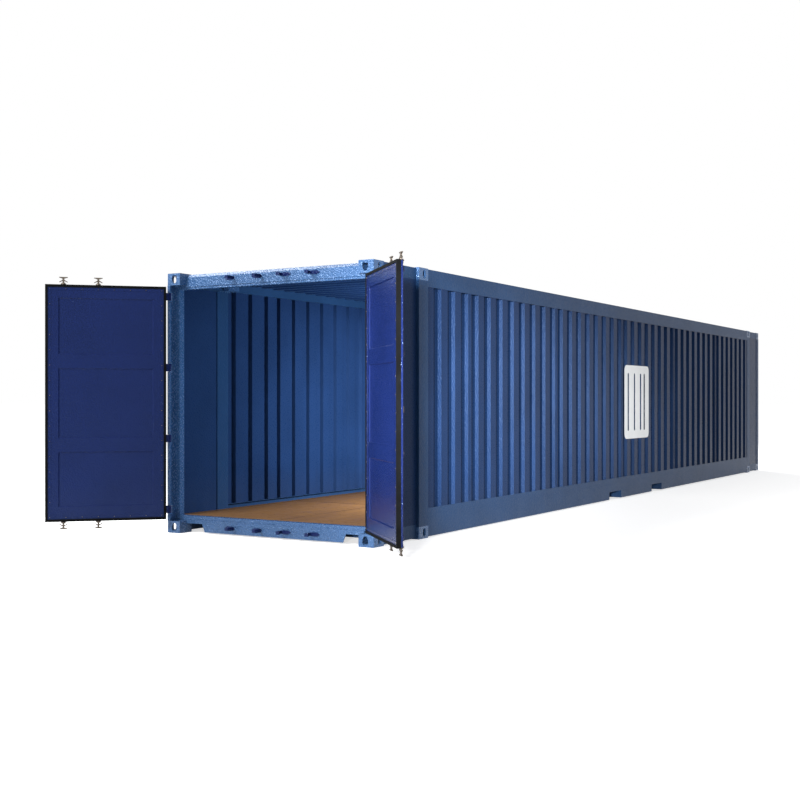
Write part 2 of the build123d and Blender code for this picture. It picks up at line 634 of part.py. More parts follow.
def pressing(low, high, depth, inset):
    """Tapered sunk field of the door skin."""
    back = -END_X + LEAF_BACK_DEPTH + 1
    y0 = LEAF_FREE_Y + LEAF_SIDE_MEMBER + SKIN_PRESSING_MARGIN + inset
    y1 = LEAF_HINGE_Y - LEAF_SIDE_MEMBER - SKIN_PRESSING_MARGIN - inset
    z0 = low + SKIN_PRESSING_MARGIN + inset
    z1 = high - SKIN_PRESSING_MARGIN - inset
    mouth = Plane((back, (y0 + y1) / 2, (z0 + z1) / 2), x_dir=(0, 1, 0), z_dir=(-1, 0, 0))
    slope = math.degrees(math.atan2(SKIN_PRESSING_SLOPE, SKIN_PRESSING_DEPTH))
    return extrude(mouth * Rectangle(y1 - y0, z1 - z0), amount=depth + 1, taper=slope)


def leaf_skin():
    """Steel skin on the inner face, with three shallow pressings sunk towards the outside."""
    skin = leaf_ring(GASKET_EDGE, GASKET_EDGE, LEAF_BACK_DEPTH - SKIN, LEAF_BACK_DEPTH)
    for low, high in PRESSING_BOUNDS:
        skin += pressing(low, high, SKIN_PRESSING_DEPTH + SKIN, -SKIN)
    for low, high in PRESSING_BOUNDS:
        skin -= pressing(low, high, SKIN_PRESSING_DEPTH, 0)
    back = -END_X + LEAF_BACK_DEPTH
    return skin - block(back, back + 10, 0, FRAME_Y, 0, HEIGHT)


def leaf_gasket():
    """Rubber seal round the leaf: a band on its edge and a lip on its inner face."""
    band = leaf_ring(0, 0, LEAF_BACK_DEPTH - GASKET_EDGE_DEPTH, LEAF_BACK_DEPTH)
    band -= leaf_ring(GASKET_EDGE, GASKET_EDGE, 0, LEAF_BACK_DEPTH + 1)
    lip = leaf_ring(0, 0, LEAF_BACK_DEPTH, LEAF_BACK_DEPTH + GASKET_LIP)
    lip -= leaf_ring(GASKET_WIDTH, GASKET_WIDTH, 0, LEAF_BACK_DEPTH + GASKET_LIP + 1)
    return band + lip


def hinge_blade(level):
    """Blade from the pin, through the post's notch, to the leaf's outer face."""
    leaf_face = -END_X + LEAF_FACE_DEPTH
    arm = leaf_face - BLADE_THICKNESS
    outline = [(PIN_X, PIN_Y), (PIN_X - EYE_RADIUS * 0.6, PIN_Y - EYE_RADIUS * 0.8)]
    outline += [(arm, PIN_Y - LEAF_PIN_GAP), (arm, PIN_Y - BLADE_LENGTH), (leaf_face, PIN_Y - BLADE_LENGTH)]
    outline += [(leaf_face, PIN_Y - LEAF_PIN_GAP * 0.6), (PIN_X + EYE_RADIUS * 0.9, PIN_Y - EYE_RADIUS * 0.4)]
    eye = Pos(PIN_X, PIN_Y, level) * Cylinder(EYE_RADIUS, BLADE_HEIGHT)
    blade = prism_z(outline, level - BLADE_HEIGHT / 2, level + BLADE_HEIGHT / 2) + eye
    return blade - Pos(PIN_X, PIN_Y, level) * Cylinder(PIN_RADIUS + PIN_CLEARANCE, BLADE_HEIGHT + 2)


def bar_guide(offset, level):
    """Saddle on the leaf with the bore that the locking bar turns in."""
    face = -END_X + LEAF_FACE_DEPTH
    front = face - BAR_STANDOFF - BAR_RADIUS - GUIDE_WALL
    saddle = block(front, face, offset - GUIDE_WIDTH / 2, offset + GUIDE_WIDTH / 2,
                   level - GUIDE_HEIGHT / 2, level + GUIDE_HEIGHT / 2)
    front_edges = saddle.edges().filter_by(Axis.Z).sort_by(Axis.X)[:2]
    saddle = chamfer(front_edges, GUIDE_WALL * 1.5)
    bore = Cylinder(BAR_RADIUS + BAR_CLEARANCE, GUIDE_HEIGHT + 2)
    return saddle - Pos(face - BAR_STANDOFF, offset, level) * bore


def guide_levels():
    """Heights of the guides: on both end members and on the crossbars."""
    return [LEAF_BOTTOM + LEAF_BOTTOM_MEMBER / 2, *CROSSBAR_LEVELS, LEAF_TOP - LEAF_TOP_MEMBER / 2]


def bar_guides():
    return [bar_guide(offset, level) for offset in BAR_OFFSETS for level in guide_levels()]


def cam(offset):
    """Upper cam: a hub on the bar, a drooping claw and a lens-shaped head above it."""
    x = -END_X + BAR_DEPTH
    hub = Pos(x, offset, LEAF_TOP + CAM_HUB_OVERHANG - CAM_HUB_HEIGHT / 2)
    hub = hub * Cylinder(CAM_HUB_RADIUS, CAM_HUB_HEIGHT)
    neck = CAM_NECK_HALF_WIDTH
    right = [(neck, CAM_HUB_OVERHANG - CAM_ARM), (neck, CAM_CLAW_ROOT - CAM_ARM)]
    right += [(CAM_CLAW_HALF_WIDTH, CAM_CLAW_DROP)]
    right += [(CAM_CLAW_HALF_WIDTH + CAM_ARM / 6, CAM_CLAW_DROP + CAM_ARM / 2)]
    right += [(neck, CAM_CLAW_ROOT), (neck, CAM_REACH - CAM_ARM * 1.4)]
    right += [(CAM_HALF_WIDTH * 0.7, CAM_REACH - CAM_ARM * 0.8)]
    right += [(CAM_HALF_WIDTH, CAM_REACH - CAM_ARM / 2), (CAM_HALF_WIDTH, CAM_REACH - CAM_ARM / 4)]
    right += [(CAM_HALF_WIDTH - CAM_ARM / 4, CAM_REACH)]
    left = [(-y, z) for y, z in reversed(right)]
    outline = [(offset + y, LEAF_TOP + z) for y, z in right + left]
    return hub + prism_x(outline, x - CAM_THICKNESS / 2, x + CAM_THICKNESS / 2)


def lock_bar(offset):
    """Locking bar with a cam at each end."""
    x = -END_X + BAR_DEPTH
    rod = Pos(x, offset, (LEAF_TOP + LEAF_BOTTOM) / 2) * Cylinder(BAR_RADIUS, LEAF_TOP - LEAF_BOTTOM)
    upper = cam(offset)
    lower = mirror(upper, about=Plane((0, 0, (LEAF_TOP + LEAF_BOTTOM) / 2)))
    return rod + upper + lower


def bar_handle(offset, level):
    """Handle that lies beside the door, level with the bar, and points towards the hinges."""
    x = -END_X + BAR_DEPTH
    half = HANDLE_THICKNESS / 2
    hub = Pos(x, offset, level) * Cylinder(HANDLE_HUB_RADIUS, HANDLE_HUB_HEIGHT)
    grip = block(x - half, x + half, offset, offset + HANDLE_LENGTH,
                 level - HANDLE_HEIGHT / 2, level + HANDLE_HEIGHT / 2)
    tip = grip.edges().filter_by(Axis.X).sort_by(Axis.Y)[-2:]
    grip = fillet(tip, HANDLE_HEIGHT * 0.45)
    bore = Pos(x, offset, level) * Cylinder(BAR_RADIUS, HANDLE_HUB_HEIGHT + 2)
    return hub + grip - bore


def swung(shape):
    """Left door piece turned from closed to its open rest angle."""
    return shape.rotate(Axis((PIN_X, PIN_Y, 0), (0, 0, 1)), -DOOR_OPEN_ANGLE)


def door_nodes():
    """Pieces of both doors by node name, at the open rest angle."""
    left = {
        "frame": [leaf_frame()],
        "skin": [leaf_skin()],
        "gasket": [leaf_gasket()],
        "hinges": [hinge_blade(level) for level in HINGE_LEVELS],
        "bar_guides": bar_guides(),
    }
    for name, offset, level in zip(("inner", "outer"), BAR_OFFSETS, HANDLE_LEVELS):
        left[f"{name}_lock_bar"] = [lock_bar(offset)]
        left[f"{name}_bar_handle"] = [bar_handle(offset, level)]
    nodes = {}
    for name, pieces in left.items():
        turned = [swung(piece) for piece in pieces]
        nodes[f"door_left_{name}"] = turned
        nodes[f"door_right_{name}"] = [flip_y(piece) for piece in turned]
    return nodes


def frame_nodes():
    """Pieces of the standing box by node name."""
    end_set = casting_set(END_X, FRAME_Y, CASTING_WIDTH, True)
    inboard_width = CASTING_WIDTH + BODY_Y - FRAME_Y
    inboard_set = casting_set(INBOARD_X, BODY_Y, inboard_width, False)
    post = door_post()
    extension = [piece for rail in extension_rails() for piece in both_sides(rail)]
    panels = both_sides(extension_panel())
    inboard_posts = both_sides(inboard_post())
    beam = roof_beam()
    return {
        "castings_door_end": [flip_x(c) for c in end_set],
        "castings_closed_end": end_set,
        "castings_inboard_door_side": [flip_x(c) for c in inboard_set],
        "castings_inboard_closed_side": inboard_set,
        "door_post_left": [post],
        "door_post_right": [flip_y(post)],
        "door_header": [door_header()],
        "door_sill": [door_sill()],
        "cam_keepers": keepers(),
        "closed_end_posts": both_sides(rear_post()),
        "closed_end_header": [rear_header()],
        "closed_end_sill": [rear_sill()],
        "closed_end_wall": [rear_wall()],
        "inboard_posts": inboard_posts + [flip_x(p) for p in inboard_posts],
        "extension_rails": extension + [flip_x(p) for p in extension],
        "extension_panels": panels + [flip_x(p) for p in panels],
        "top_rail_left": [top_rail()],
        "top_rail_right": [flip_y(top_rail())],
        "bottom_rail_left": [bottom_rail()],
        "bottom_rail_right": [flip_y(bottom_rail())],
        "side_wall_left": [side_wall()],
        "side_wall_right": [flip_y(side_wall())],
        "roof_sheet": [roof_sheet()],
        "roof_end_plates": [roof_end_plate(REAR_BEAM_X), flip_x(roof_end_plate(CASTING_INNER_X))],
        "roof_beams": [beam, flip_x(beam)],
        "floor_deck": [floor_deck()],
        "crossmembers": crossmembers(),
        "fork_tunnels": fork_tunnels(),
    }


def main():
    os.makedirs("parts", exist_ok=True)
    nodes = {**frame_nodes(), **door_nodes()}
    for name, pieces in nodes.items():
        solids = [solid for piece in pieces for solid in piece.solids()]
        shape = solids[0] if len(solids) == 1 else Compound(children=solids)
        export_step(shape, f"parts/{name}.step")


main()
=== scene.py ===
import json
import math

import bmesh
import bpy
from bpy.props import FloatProperty, FloatVectorProperty, IntProperty, PointerProperty
from mathutils import Matrix, Vector


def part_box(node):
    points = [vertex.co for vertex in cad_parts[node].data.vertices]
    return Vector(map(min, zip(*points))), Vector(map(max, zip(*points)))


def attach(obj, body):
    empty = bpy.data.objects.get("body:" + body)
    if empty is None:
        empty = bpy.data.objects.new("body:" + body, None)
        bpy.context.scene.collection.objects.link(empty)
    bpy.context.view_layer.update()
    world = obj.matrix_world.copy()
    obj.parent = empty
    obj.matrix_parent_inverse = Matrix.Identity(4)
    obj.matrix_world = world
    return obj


bl_info = {
    "name": "Box container",
    "version": (1, 0, 0),
    "blender": (4, 5, 0),
    "location": "3D View > Sidebar > Container",
    "description": "Dresses the packed steel container: paint, plywood, fixings, weld beads and hardware",
    "category": "Object",
}

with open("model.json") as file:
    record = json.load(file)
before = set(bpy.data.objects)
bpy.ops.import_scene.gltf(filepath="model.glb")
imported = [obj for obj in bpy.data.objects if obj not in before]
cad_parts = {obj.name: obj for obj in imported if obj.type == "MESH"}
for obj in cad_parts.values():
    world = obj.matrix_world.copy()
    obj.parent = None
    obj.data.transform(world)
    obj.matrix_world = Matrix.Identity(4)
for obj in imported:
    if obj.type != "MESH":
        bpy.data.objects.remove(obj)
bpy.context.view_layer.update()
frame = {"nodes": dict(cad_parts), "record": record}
NODES = frame["nodes"]

# Camera, found by fitting the box's edges to the photograph, in metres, radians and millimetres
CAMERA_PLACE = (-15.8160, -6.8387, 1.3268)
CAMERA_YAW = 0.5379
CAMERA_LENS = 53.08
SENSOR_WIDTH = 36.0

# Doors: pin, rest angle, and places on the closed left leaf in metres
DOOR_END_X = -6.858
PIN = Vector((-6.838, 1.205, 0.0))
REST_ANGLE = math.radians(135.0)
LEAF_Y = (0.008, 1.165)
LEAF_Z = (0.139, 2.454)
LEAF_FACE_X = DOOR_END_X + 0.050
LEAF_BACK_X = DOOR_END_X + 0.098
BAR_X = DOOR_END_X + 0.025
BAR_Y = (0.178245, 0.51027)
HANDLE_Z = (1.2502, 1.099725)
GUIDE_Z = (0.204, 0.8879, 1.7051, 2.3965)
HINGE_Z = (0.233, 0.942, 1.651, 2.360)

# Side walls: flutes, panel joints and the closed end's joint, as the folded sheets have them
FLUTE_PITCH = 0.286
SEAM_PITCH = 0.230
FLUTES_PER_PANEL = 8
FLUTES_BEFORE_SEAM = 3
WALL_REACH = 5.918
WALL_END_MARGIN = 0.180
WALL_TOP = 2.4165
WALL_FOOT = 0.2885
SHEET_Y = 1.245
FRAME_Y = 1.219
CASTING_LENGTH = 0.178
CLOSING_X = (6.680, 6.708)
CLOSING_Z = (0.118, 2.473)

# Floor screws, in rows over the cross members
CROSSMEMBER_PITCH = 0.296
SCREW_MARGIN_X = 0.1
SCREW_MARGIN_Y = 0.06

# Gasket strips with their rivets, guide flanges with their bolts, and handle catches
STRIP_INSET = 0.032
STRIP_WIDTH = 0.022
RIVET_INSET = STRIP_INSET + STRIP_WIDTH / 2
FLANGE_NEAR, FLANGE_FAR = 0.0255, 0.056
FLANGE_HALF_HEIGHT = 0.021
FLANGE_CHAMFER = 0.006
FLANGE_THICKNESS = 0.004
BOLT_OFFSET = 0.041
HEX_CORNERS = 1.155
PIN_LUG_END = 0.0505
CATCH_OFFSET = 0.235
CATCH_HALF_WIDTH = 0.022
LIP_HALF_WIDTH = 0.018

# White panel and its slots, as offsets from its middle
PANEL_X, PANEL_Z = 0.009, 1.300
PANEL_WIDTH, PANEL_HEIGHT = 0.980, 1.009
PANEL_CORNER = 0.070
PANEL_THICKNESS = 0.003
SLOT_X = (-0.347, -0.098, 0.152, 0.304)
SLOT_SIZE = (0.060, 0.790)
SLOT_CORNER = 0.018
CORNER_STEPS = 6

# Nodes of rolled sections and of the closed end, which carry the smoother enamel in a darker tone that is painted
# shade
RAIL_NODES = (
    "top_rail", "bottom_rail", "inboard_posts", "extension_rails", "closed_end", "crossmembers",
    "fork_tunnels",
)

# Tints of the enamel: the dust that lies on its lower parts, and its blue flakes
DUST = "#6f7680"
FLAKES = "#b4d2ff"


def linear(code):
    """Linear colour with alpha from an sRGB hex value."""
    code = code.lstrip("#")
    channels = [int(code[i:i + 2], 16) / 255 for i in (0, 2, 4)]
    return tuple(c / 12.92 if c <= 0.04045 else ((c + 0.055) / 1.055) ** 2.4 for c in channels) + (1.0,)


def colour_setting(name, note, code):
    return FloatVectorProperty(
        name=name, description=note, subtype="COLOR", size=4, min=0.0, max=1.0, default=linear(code),
    )


class ContainerColours(bpy.types.PropertyGroup):
    """Colours of the container's paints, boards and steel."""

    # The frame, rail, wall and door paints are one navy enamel in four tones. The frame's lighter tone is painted
    # light, for the door end that faces the lamps
    frame_paint: colour_setting("Frame paint", "Enamel on castings, door posts, header and sill", "#34557f")
    # The rails' darker tone of the same enamel is painted shade
    rail_paint: colour_setting("Rail paint", "Enamel on rails, cross members and the closed end", "#1d385b")
    # The walls' darker tone of the same enamel is painted shade
    wall_paint: colour_setting("Wall paint", "Enamel on the side walls and the roof", "#182d50")
    # The doors' darkest tone of the same enamel is painted shade
    door_paint: colour_setting("Door paint", "Enamel on the leaves, hinges, guides and keepers", "#121e4c")
    white_paint: colour_setting("White paint", "Paint of the plain panel on the side wall", "#f4f6f8")
    zinc: colour_setting("Zinc", "Dull zinc coat on locking bars, handles and fixings", "#665e55")
    rubber: colour_setting("Rubber", "Door gasket", "#08090a")
    plywood: colour_setting("Plywood", "Sealed floor boards", "#76552f")


class ContainerSizes(bpy.types.PropertyGroup):
    """Sizes of the fixings that a user may change."""

    screw_head: FloatProperty(
        name="Screw head", description="Diameter of a floor screw's head", unit="LENGTH",
        default=0.013, min=0.004)
    screw_gap: FloatProperty(
        name="Screw gap", description="Distance between floor screws across the boards", unit="LENGTH",
        default=0.150, min=0.05)
    rivet_gap: FloatProperty(
        name="Rivet gap", description="Distance between the rivets of a gasket strip", unit="LENGTH",
        default=0.150, min=0.05)
    bolt_width: FloatProperty(
        name="Bolt width", description="Hexagon heads on the bar guides, across the flats", unit="LENGTH",
        default=0.019, min=0.008)
    bead_radius: FloatProperty(
        name="Bead radius", description="Radius of a weld bead", unit="LENGTH", default=0.0035, min=0.001)
    seed: IntProperty(name="Seed", description="Seed of the beads' width and the heads' angles", default=7, min=0)


def settings():
    return bpy.context.scene.container_sizes


def colours():
    return bpy.context.scene.container_colours


# Materials

def add(tree, kind, inputs=None, stops=(), **values):
    """Adds one node with its settings, links and, for a ramp, its (place, colour) stops.

    An input's value is a number, a colour or another node's output.
    """
    node = tree.nodes.new(kind)
    for name, value in values.items():
        setattr(node, name, value)
    for key, value in (inputs or {}).items():
        if isinstance(value, bpy.types.NodeSocket):
            tree.links.new(value, node.inputs[key])
        else:
            node.inputs[key].default_value = value
    for i, (place, colour) in enumerate(stops):
        elements = node.color_ramp.elements
        while len(elements) < len(stops):
            elements.new(0.5)
        elements[i].position = place
        elements[i].color = colour
    return node


def grey(level):
    return (level, level, level, 1.0)


def shade(colour, factor):
    """The same colour, lighter or darker by a factor."""
    return tuple(min(1.0, c * factor) for c in colour[:3]) + (1.0,)


def new_material(name):
    """A material with an empty tree, and that tree."""
    material = bpy.data.materials.new(name)
    material.use_nodes = True
    material.node_tree.nodes.clear()
    return material, material.node_tree


def enamel(name, colour, roughness, specular, peel, peel_depth, dust):
    """Alkyd enamel sprayed thick on steel: a navy body under a satin, orange-peel skin.

    Real orange peel is 2 to 4 mm across. It is drawn 13 to 16 mm across here, because a pixel of the
    view covers 9 mm or more, so that the light breaks up on it as it does on the real paint. The blue flakes
    in the paint keep its highlights blue.
    """
    material, tree = new_material(name)
    place = add(tree, "ShaderNodeTexCoord").outputs["Object"]
    # Sun fades the coat in clouds of 0.9 m
    fade = add(tree, "ShaderNodeTexNoise",
               {"Vector": place, "Scale": 1 / 0.9, "Detail": 4.0, "Roughness": 0.6})
    body = add(tree, "ShaderNodeValToRGB", {"Fac": fade.outputs["Fac"]},
               stops=((0.30, shade(colour, 0.86)), (0.70, shade(colour, 1.14))))
    # Road dust lies on the lowest half metre, in streaks 0.1 m wide
    height = add(tree, "ShaderNodeSeparateXYZ", {"Vector": place})
    low = add(tree, "ShaderNodeMapRange",
              {"Value": height.outputs["Z"], "From Min": 0.05, "From Max": 0.55,
               "To Min": 1.0, "To Max": 0.0})
    streak = add(tree, "ShaderNodeMapping", {"Vector": place, "Scale": (9.0, 9.0, 0.8)})
    grime = add(tree, "ShaderNodeTexNoise",
                {"Vector": streak.outputs["Vector"], "Scale": 1.0, "Detail": 5.0})
    film = add(tree, "ShaderNodeMath", {0: low.outputs["Result"], 1: grime.outputs["Fac"]},
               operation="MULTIPLY")
    film = add(tree, "ShaderNodeMath", {0: film.outputs["Value"], 1: dust}, operation="MULTIPLY")
    dusted = add(tree, "ShaderNodeMix",
                 {0: film.outputs["Value"], 6: body.outputs["Color"], 7: linear(DUST)}, data_type="RGBA")
    # Dents 0.25 m across under the peel
    wave = add(tree, "ShaderNodeTexNoise", {"Vector": place, "Scale": 1 / 0.25, "Detail": 1.0})
    dents = add(tree, "ShaderNodeBump", {"Height": wave.outputs["Fac"], "Strength": 0.5, "Distance": 0.004})
    peel = add(tree, "ShaderNodeTexNoise",
               {"Vector": place, "Scale": 1 / peel, "Detail": 1.0, "Roughness": 0.5})
    skin = add(tree, "ShaderNodeBump",
               {"Height": peel.outputs["Fac"], "Strength": 1.0, "Distance": peel_depth,
                "Normal": dents.outputs["Normal"]})
    gloss = add(tree, "ShaderNodeMapRange",
                {"Value": peel.outputs["Fac"], "From Min": 0.3, "From Max": 0.7,
                 "To Min": roughness * 0.85, "To Max": roughness * 1.15})
    shader = add(tree, "ShaderNodeBsdfPrincipled", {
        "Base Color": dusted.outputs[2], "Roughness": gloss.outputs["Result"],
        "Normal": skin.outputs["Normal"],
        "IOR": 1.5, "Specular IOR Level": specular, "Specular Tint": linear(FLAKES),
    })
    add(tree, "ShaderNodeOutputMaterial", {"Surface": shader.outputs["BSDF"]})
    return material


def frame_enamel():
    """End frames and castings: thick enamel with a hammered look that sparkles under the lamp. Its navy is
    lighter than the rest of the same enamel, as painted light for the door end that faces the lamps.
    """
    return enamel("hammered_navy_enamel_with_painted_light", tuple(colours().frame_paint), roughness=0.26, specular=0.80,
                  peel=0.016, peel_depth=0.0110, dust=0.10)


def rail_enamel():
    """Side rails and posts: the same enamel on smooth rolled sections, flatter and duller, and darker as painted
    shade.
    """
    return enamel("satin_navy_enamel_with_painted_shade", tuple(colours().rail_paint), roughness=0.45, specular=0.16,
                  peel=0.015, peel_depth=0.0030, dust=0.10)


def wall_enamel():
    """Folded sheets: enamel over cold-rolled steel, even and satin, so that each fold catches the light. Its
    darker navy is painted shade.
    """
    return enamel("navy_enamel_with_painted_shade_on_folded_sheet", tuple(colours().wall_paint), roughness=0.30, specular=0.04,
                  peel=0.014, peel_depth=0.0022, dust=0.08)


def door_enamel():
    """Door leaves: a finer coat with little sheen, in a darker navy that is painted shade."""
    return enamel("navy_enamel_with_painted_shade_on_doors", tuple(colours().door_paint), roughness=0.22, specular=0.24,
                  peel=0.013, peel_depth=0.0045, dust=0.05)


def zinc_steel():
    """Hot-dip galvanised forging, dulled outdoors: grey-brown spangle with soft, broken shine."""
    material, tree = new_material("dull_galvanised_forging")
    colour = tuple(colours().zinc)
    place = add(tree, "ShaderNodeTexCoord").outputs["Object"]
    # Spangle of 10 to 20 mm
    spangle = add(tree, "ShaderNodeTexVoronoi", {"Vector": place, "Scale": 1 / 0.014})
    cells = add(tree, "ShaderNodeSeparateColor", {"Color": spangle.outputs["Color"]})
    body = add(tree, "ShaderNodeValToRGB", {"Fac": cells.outputs["Red"]},
               stops=((0.0, shade(colour, 0.72)), (1.0, shade(colour, 1.15))))
    gloss = add(tree, "ShaderNodeMapRange", {"Value": cells.outputs["Green"], "To Min": 0.38, "To Max": 0.6})
    # Pits of 4 mm
    pits = add(tree, "ShaderNodeTexNoise", {"Vector": place, "Scale": 1 / 0.004, "Detail": 3.0})
    rough = add(tree, "ShaderNodeBump", {"Height": pits.outputs["Fac"], "Strength": 0.4, "Distance": 0.0006})
    shader = add(tree, "ShaderNodeBsdfPrincipled", {
        "Base Color": body.outputs["Color"], "Roughness": gloss.outputs["Result"],
        "Normal": rough.outputs["Normal"], "Metallic": 0.85,
    })
    add(tree, "ShaderNodeOutputMaterial", {"Surface": shader.outputs["BSDF"]})
    return material


def gasket_rubber():
    """Extruded EPDM rubber: near black, matt, with a faint bloom that greys it in patches."""
    material, tree = new_material("matt_extruded_rubber")
    colour = tuple(colours().rubber)
    place = add(tree, "ShaderNodeTexCoord").outputs["Object"]
    # Bloom in patches of 0.12 m over a 6 mm grain
    bloom = add(tree, "ShaderNodeTexNoise", {"Vector": place, "Scale": 1 / 0.12, "Detail": 4.0})
    body = add(tree, "ShaderNodeValToRGB", {"Fac": bloom.outputs["Fac"]},
               stops=((0.35, colour), (0.75, shade(colour, 2.2))))
    skin = add(tree, "ShaderNodeTexNoise", {"Vector": place, "Scale": 1 / 0.006, "Detail": 2.0})
    grain = add(tree, "ShaderNodeBump", {"Height": skin.outputs["Fac"], "Strength": 0.3, "Distance": 0.0005})
    shader = add(tree, "ShaderNodeBsdfPrincipled", {
        "Base Color": body.outputs["Color"], "Normal": grain.outputs["Normal"],
        "Roughness": 0.85, "IOR": 1.52, "Specular IOR Level": 0.06,
    })
    add(tree, "ShaderNodeOutputMaterial", {"Surface": shader.outputs["BSDF"]})
    return material


def floor_plywood():
    """Tropical hardwood plywood with a sealing oil: red-brown face grain along the length, satin, scuffed.

    The boards are 2400 mm long and 1160 mm wide with a 6 mm joint, which is drawn 14 mm wide to show.
    """
    material, tree = new_material("sealed_hardwood_plywood")
    colour = tuple(colours().plywood)
    place = add(tree, "ShaderNodeTexCoord").outputs["Object"]
    boards = add(tree, "ShaderNodeTexBrick",
                 {"Vector": place, "Color1": grey(0.35), "Color2": grey(0.65), "Mortar": grey(0.0),
                  "Scale": 1.0, "Mortar Size": 0.007, "Mortar Smooth": 0.1,
                  "Brick Width": 2.4, "Row Height": 1.16},
                 offset=0.0)
    # Grain of 1 to 3 mm, drawn 11 mm wide to show, and long along the boards
    along = add(tree, "ShaderNodeMapping", {"Vector": place, "Scale": (1.2, 90.0, 90.0)})
    grain = add(tree, "ShaderNodeTexNoise",
                {"Vector": along.outputs["Vector"], "Scale": 1.0, "Detail": 6.0, "Roughness": 0.65})
    figure = add(tree, "ShaderNodeValToRGB", {"Fac": grain.outputs["Fac"]},
                 stops=((0.30, shade(colour, 0.62)), (0.70, shade(colour, 1.3))))
    tone = add(tree, "ShaderNodeValToRGB", {"Fac": boards.outputs["Color"]},
               stops=((0.0, grey(0.12)), (0.3, grey(0.8)), (1.0, grey(1.25))))
    board = add(tree, "ShaderNodeMix", {0: 1.0, 6: figure.outputs["Color"], 7: tone.outputs["Color"]},
                data_type="RGBA", blend_type="MULTIPLY")
    # Scuffs of 0.3 m break up the oil's gloss
    scuffs = add(tree, "ShaderNodeTexNoise",
                 {"Vector": place, "Scale": 1 / 0.3, "Detail": 7.0, "Roughness": 0.7})
    gloss = add(tree, "ShaderNodeMapRange",
                {"Value": scuffs.outputs["Fac"], "From Min": 0.3, "From Max": 0.7,
                 "To Min": 0.4, "To Max": 0.7})
    joint = add(tree, "ShaderNodeBump",
                {"Height": boards.outputs["Color"], "Strength": 0.6, "Distance": 0.003})
    fibre = add(tree, "ShaderNodeBump",
                {"Height": grain.outputs["Fac"], "Strength": 0.3, "Distance": 0.001,
                 "Normal": joint.outputs["Normal"]})
    shader = add(tree, "ShaderNodeBsdfPrincipled", {
        "Base Color": board.outputs[2], "Roughness": gloss.outputs["Result"],
        "Normal": fibre.outputs["Normal"],
    })
    add(tree, "ShaderNodeOutputMaterial", {"Surface": shader.outputs["BSDF"]})
    return material


def panel_white():
    """White alkyd paint brushed on: clean, slightly chalky, with faint upright brush marks 4 mm apart."""
    material, tree = new_material("chalky_white_alkyd_paint")
    colour = tuple(colours().white_paint)
    place = add(tree, "ShaderNodeTexCoord").outputs["Object"]
    chalk = add(tree, "ShaderNodeTexNoise", {"Vector": place, "Scale": 1 / 0.2, "Detail": 4.0})
    body = add(tree, "ShaderNodeValToRGB", {"Fac": chalk.outputs["Fac"]},
               stops=((0.3, shade(colour, 0.93)), (0.7, colour)))
    along = add(tree, "ShaderNodeMapping", {"Vector": place, "Scale": (250.0, 250.0, 4.0)})
    brush = add(tree, "ShaderNodeTexNoise", {"Vector": along.outputs["Vector"], "Scale": 1.0, "Detail": 2.0})
    marks = add(tree, "ShaderNodeBump",
                {"Height": brush.outputs["Fac"], "Strength": 0.2, "Distance": 0.0004})
    shader = add(tree, "ShaderNodeBsdfPrincipled", {
        "Base Color": body.outputs["Color"], "Normal": marks.outputs["Normal"], "Roughness": 0.55,
    })
    add(tree, "ShaderNodeOutputMaterial", {"Surface": shader.outputs["BSDF"]})
    return material


FINISHES = {
    "frame_paint": frame_enamel,
    "rail_paint": rail_enamel,
    "wall_paint": wall_enamel,
    "door_paint": door_enamel,
    "zinc_steel": zinc_steel,
    "gasket_rubber": gasket_rubber,
    "floor_ply": floor_plywood,
    "white_paint": panel_white,
}
made = {}


def finish(slot):
    """The material of a slot, made once."""
    if slot not in made:
        made[slot] = FINISHES[slot]()
    return made[slot]


# Mesh helpers

def piece(name, mesh, body, slot):
    """A finished piece in the scene: named, dressed, riding its body."""
    thing = bpy.data.objects.new(name, mesh)
    bpy.context.scene.collection.objects.link(thing)
    mesh.materials.clear()
    mesh.materials.append(finish(slot))
    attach(thing, body)


def mesh_from(build, name):
    """A mesh from a function that fills a bmesh, with doubles merged and normals outward."""
    work = bmesh.new()
    build(work)
    bmesh.ops.remove_doubles(work, verts=work.verts, dist=1e-6)
    bmesh.ops.recalc_face_normals(work, faces=work.faces)
    mesh = bpy.data.meshes.new(name)
    work.to_mesh(mesh)
    work.free()
    return mesh


def prism(work, outline, low, high, axis="z"):
    """Closed prism from an outline of pairs, pushed between low and high along one axis."""
    order = {
        "x": lambda a, b, h: (h, a, b),
        "y": lambda a, b, h: (a, h, b),
        "z": lambda a, b, h: (a, b, h),
    }[axis]
    bottom = [work.verts.new(order(a, b, low)) for a, b in outline]
    top = [work.verts.new(order(a, b, high)) for a, b in outline]
    work.faces.new(bottom)
    work.faces.new(top)
    for i in range(len(outline)):
        j = (i + 1) % len(outline)
        work.faces.new((bottom[i], bottom[j], top[j], top[i]))


def turned(work, profile, centre, sides):
    """Solid of revolution about a vertical line through centre, from (radius, height) pairs."""
    rings = []
    for radius, height in profile:
        ring = [
            work.verts.new((centre[0] + radius * math.cos(2 * math.pi * i / sides),
                            centre[1] + radius * math.sin(2 * math.pi * i / sides), height))
            for i in range(sides)
        ]
        rings.append(ring)
    for lower, upper in zip(rings, rings[1:]):
        for i in range(sides):
            j = (i + 1) % sides
            work.faces.new((lower[i], lower[j], upper[j], upper[i]))
    work.faces.new(rings[0])
    work.faces.new(rings[-1])


def opened(side):
    """Matrix that carries a place on the closed left leaf to the open leaf of that side."""
    swing = Matrix.Translation(PIN) @ Matrix.Rotation(-REST_ANGLE, 4, "Z") @ Matrix.Translation(-PIN)
    if side == "right":
        return Matrix.Diagonal((1, -1, 1, 1)) @ swing
    return swing


def place_on_leaf(mesh, side):
    """Carries a mesh made on the closed left leaf to the open leaf, normals kept outward."""
    mesh.transform(opened(side))
    if side == "right":
        mesh.flip_normals()
    return mesh


# Geometry Nodes

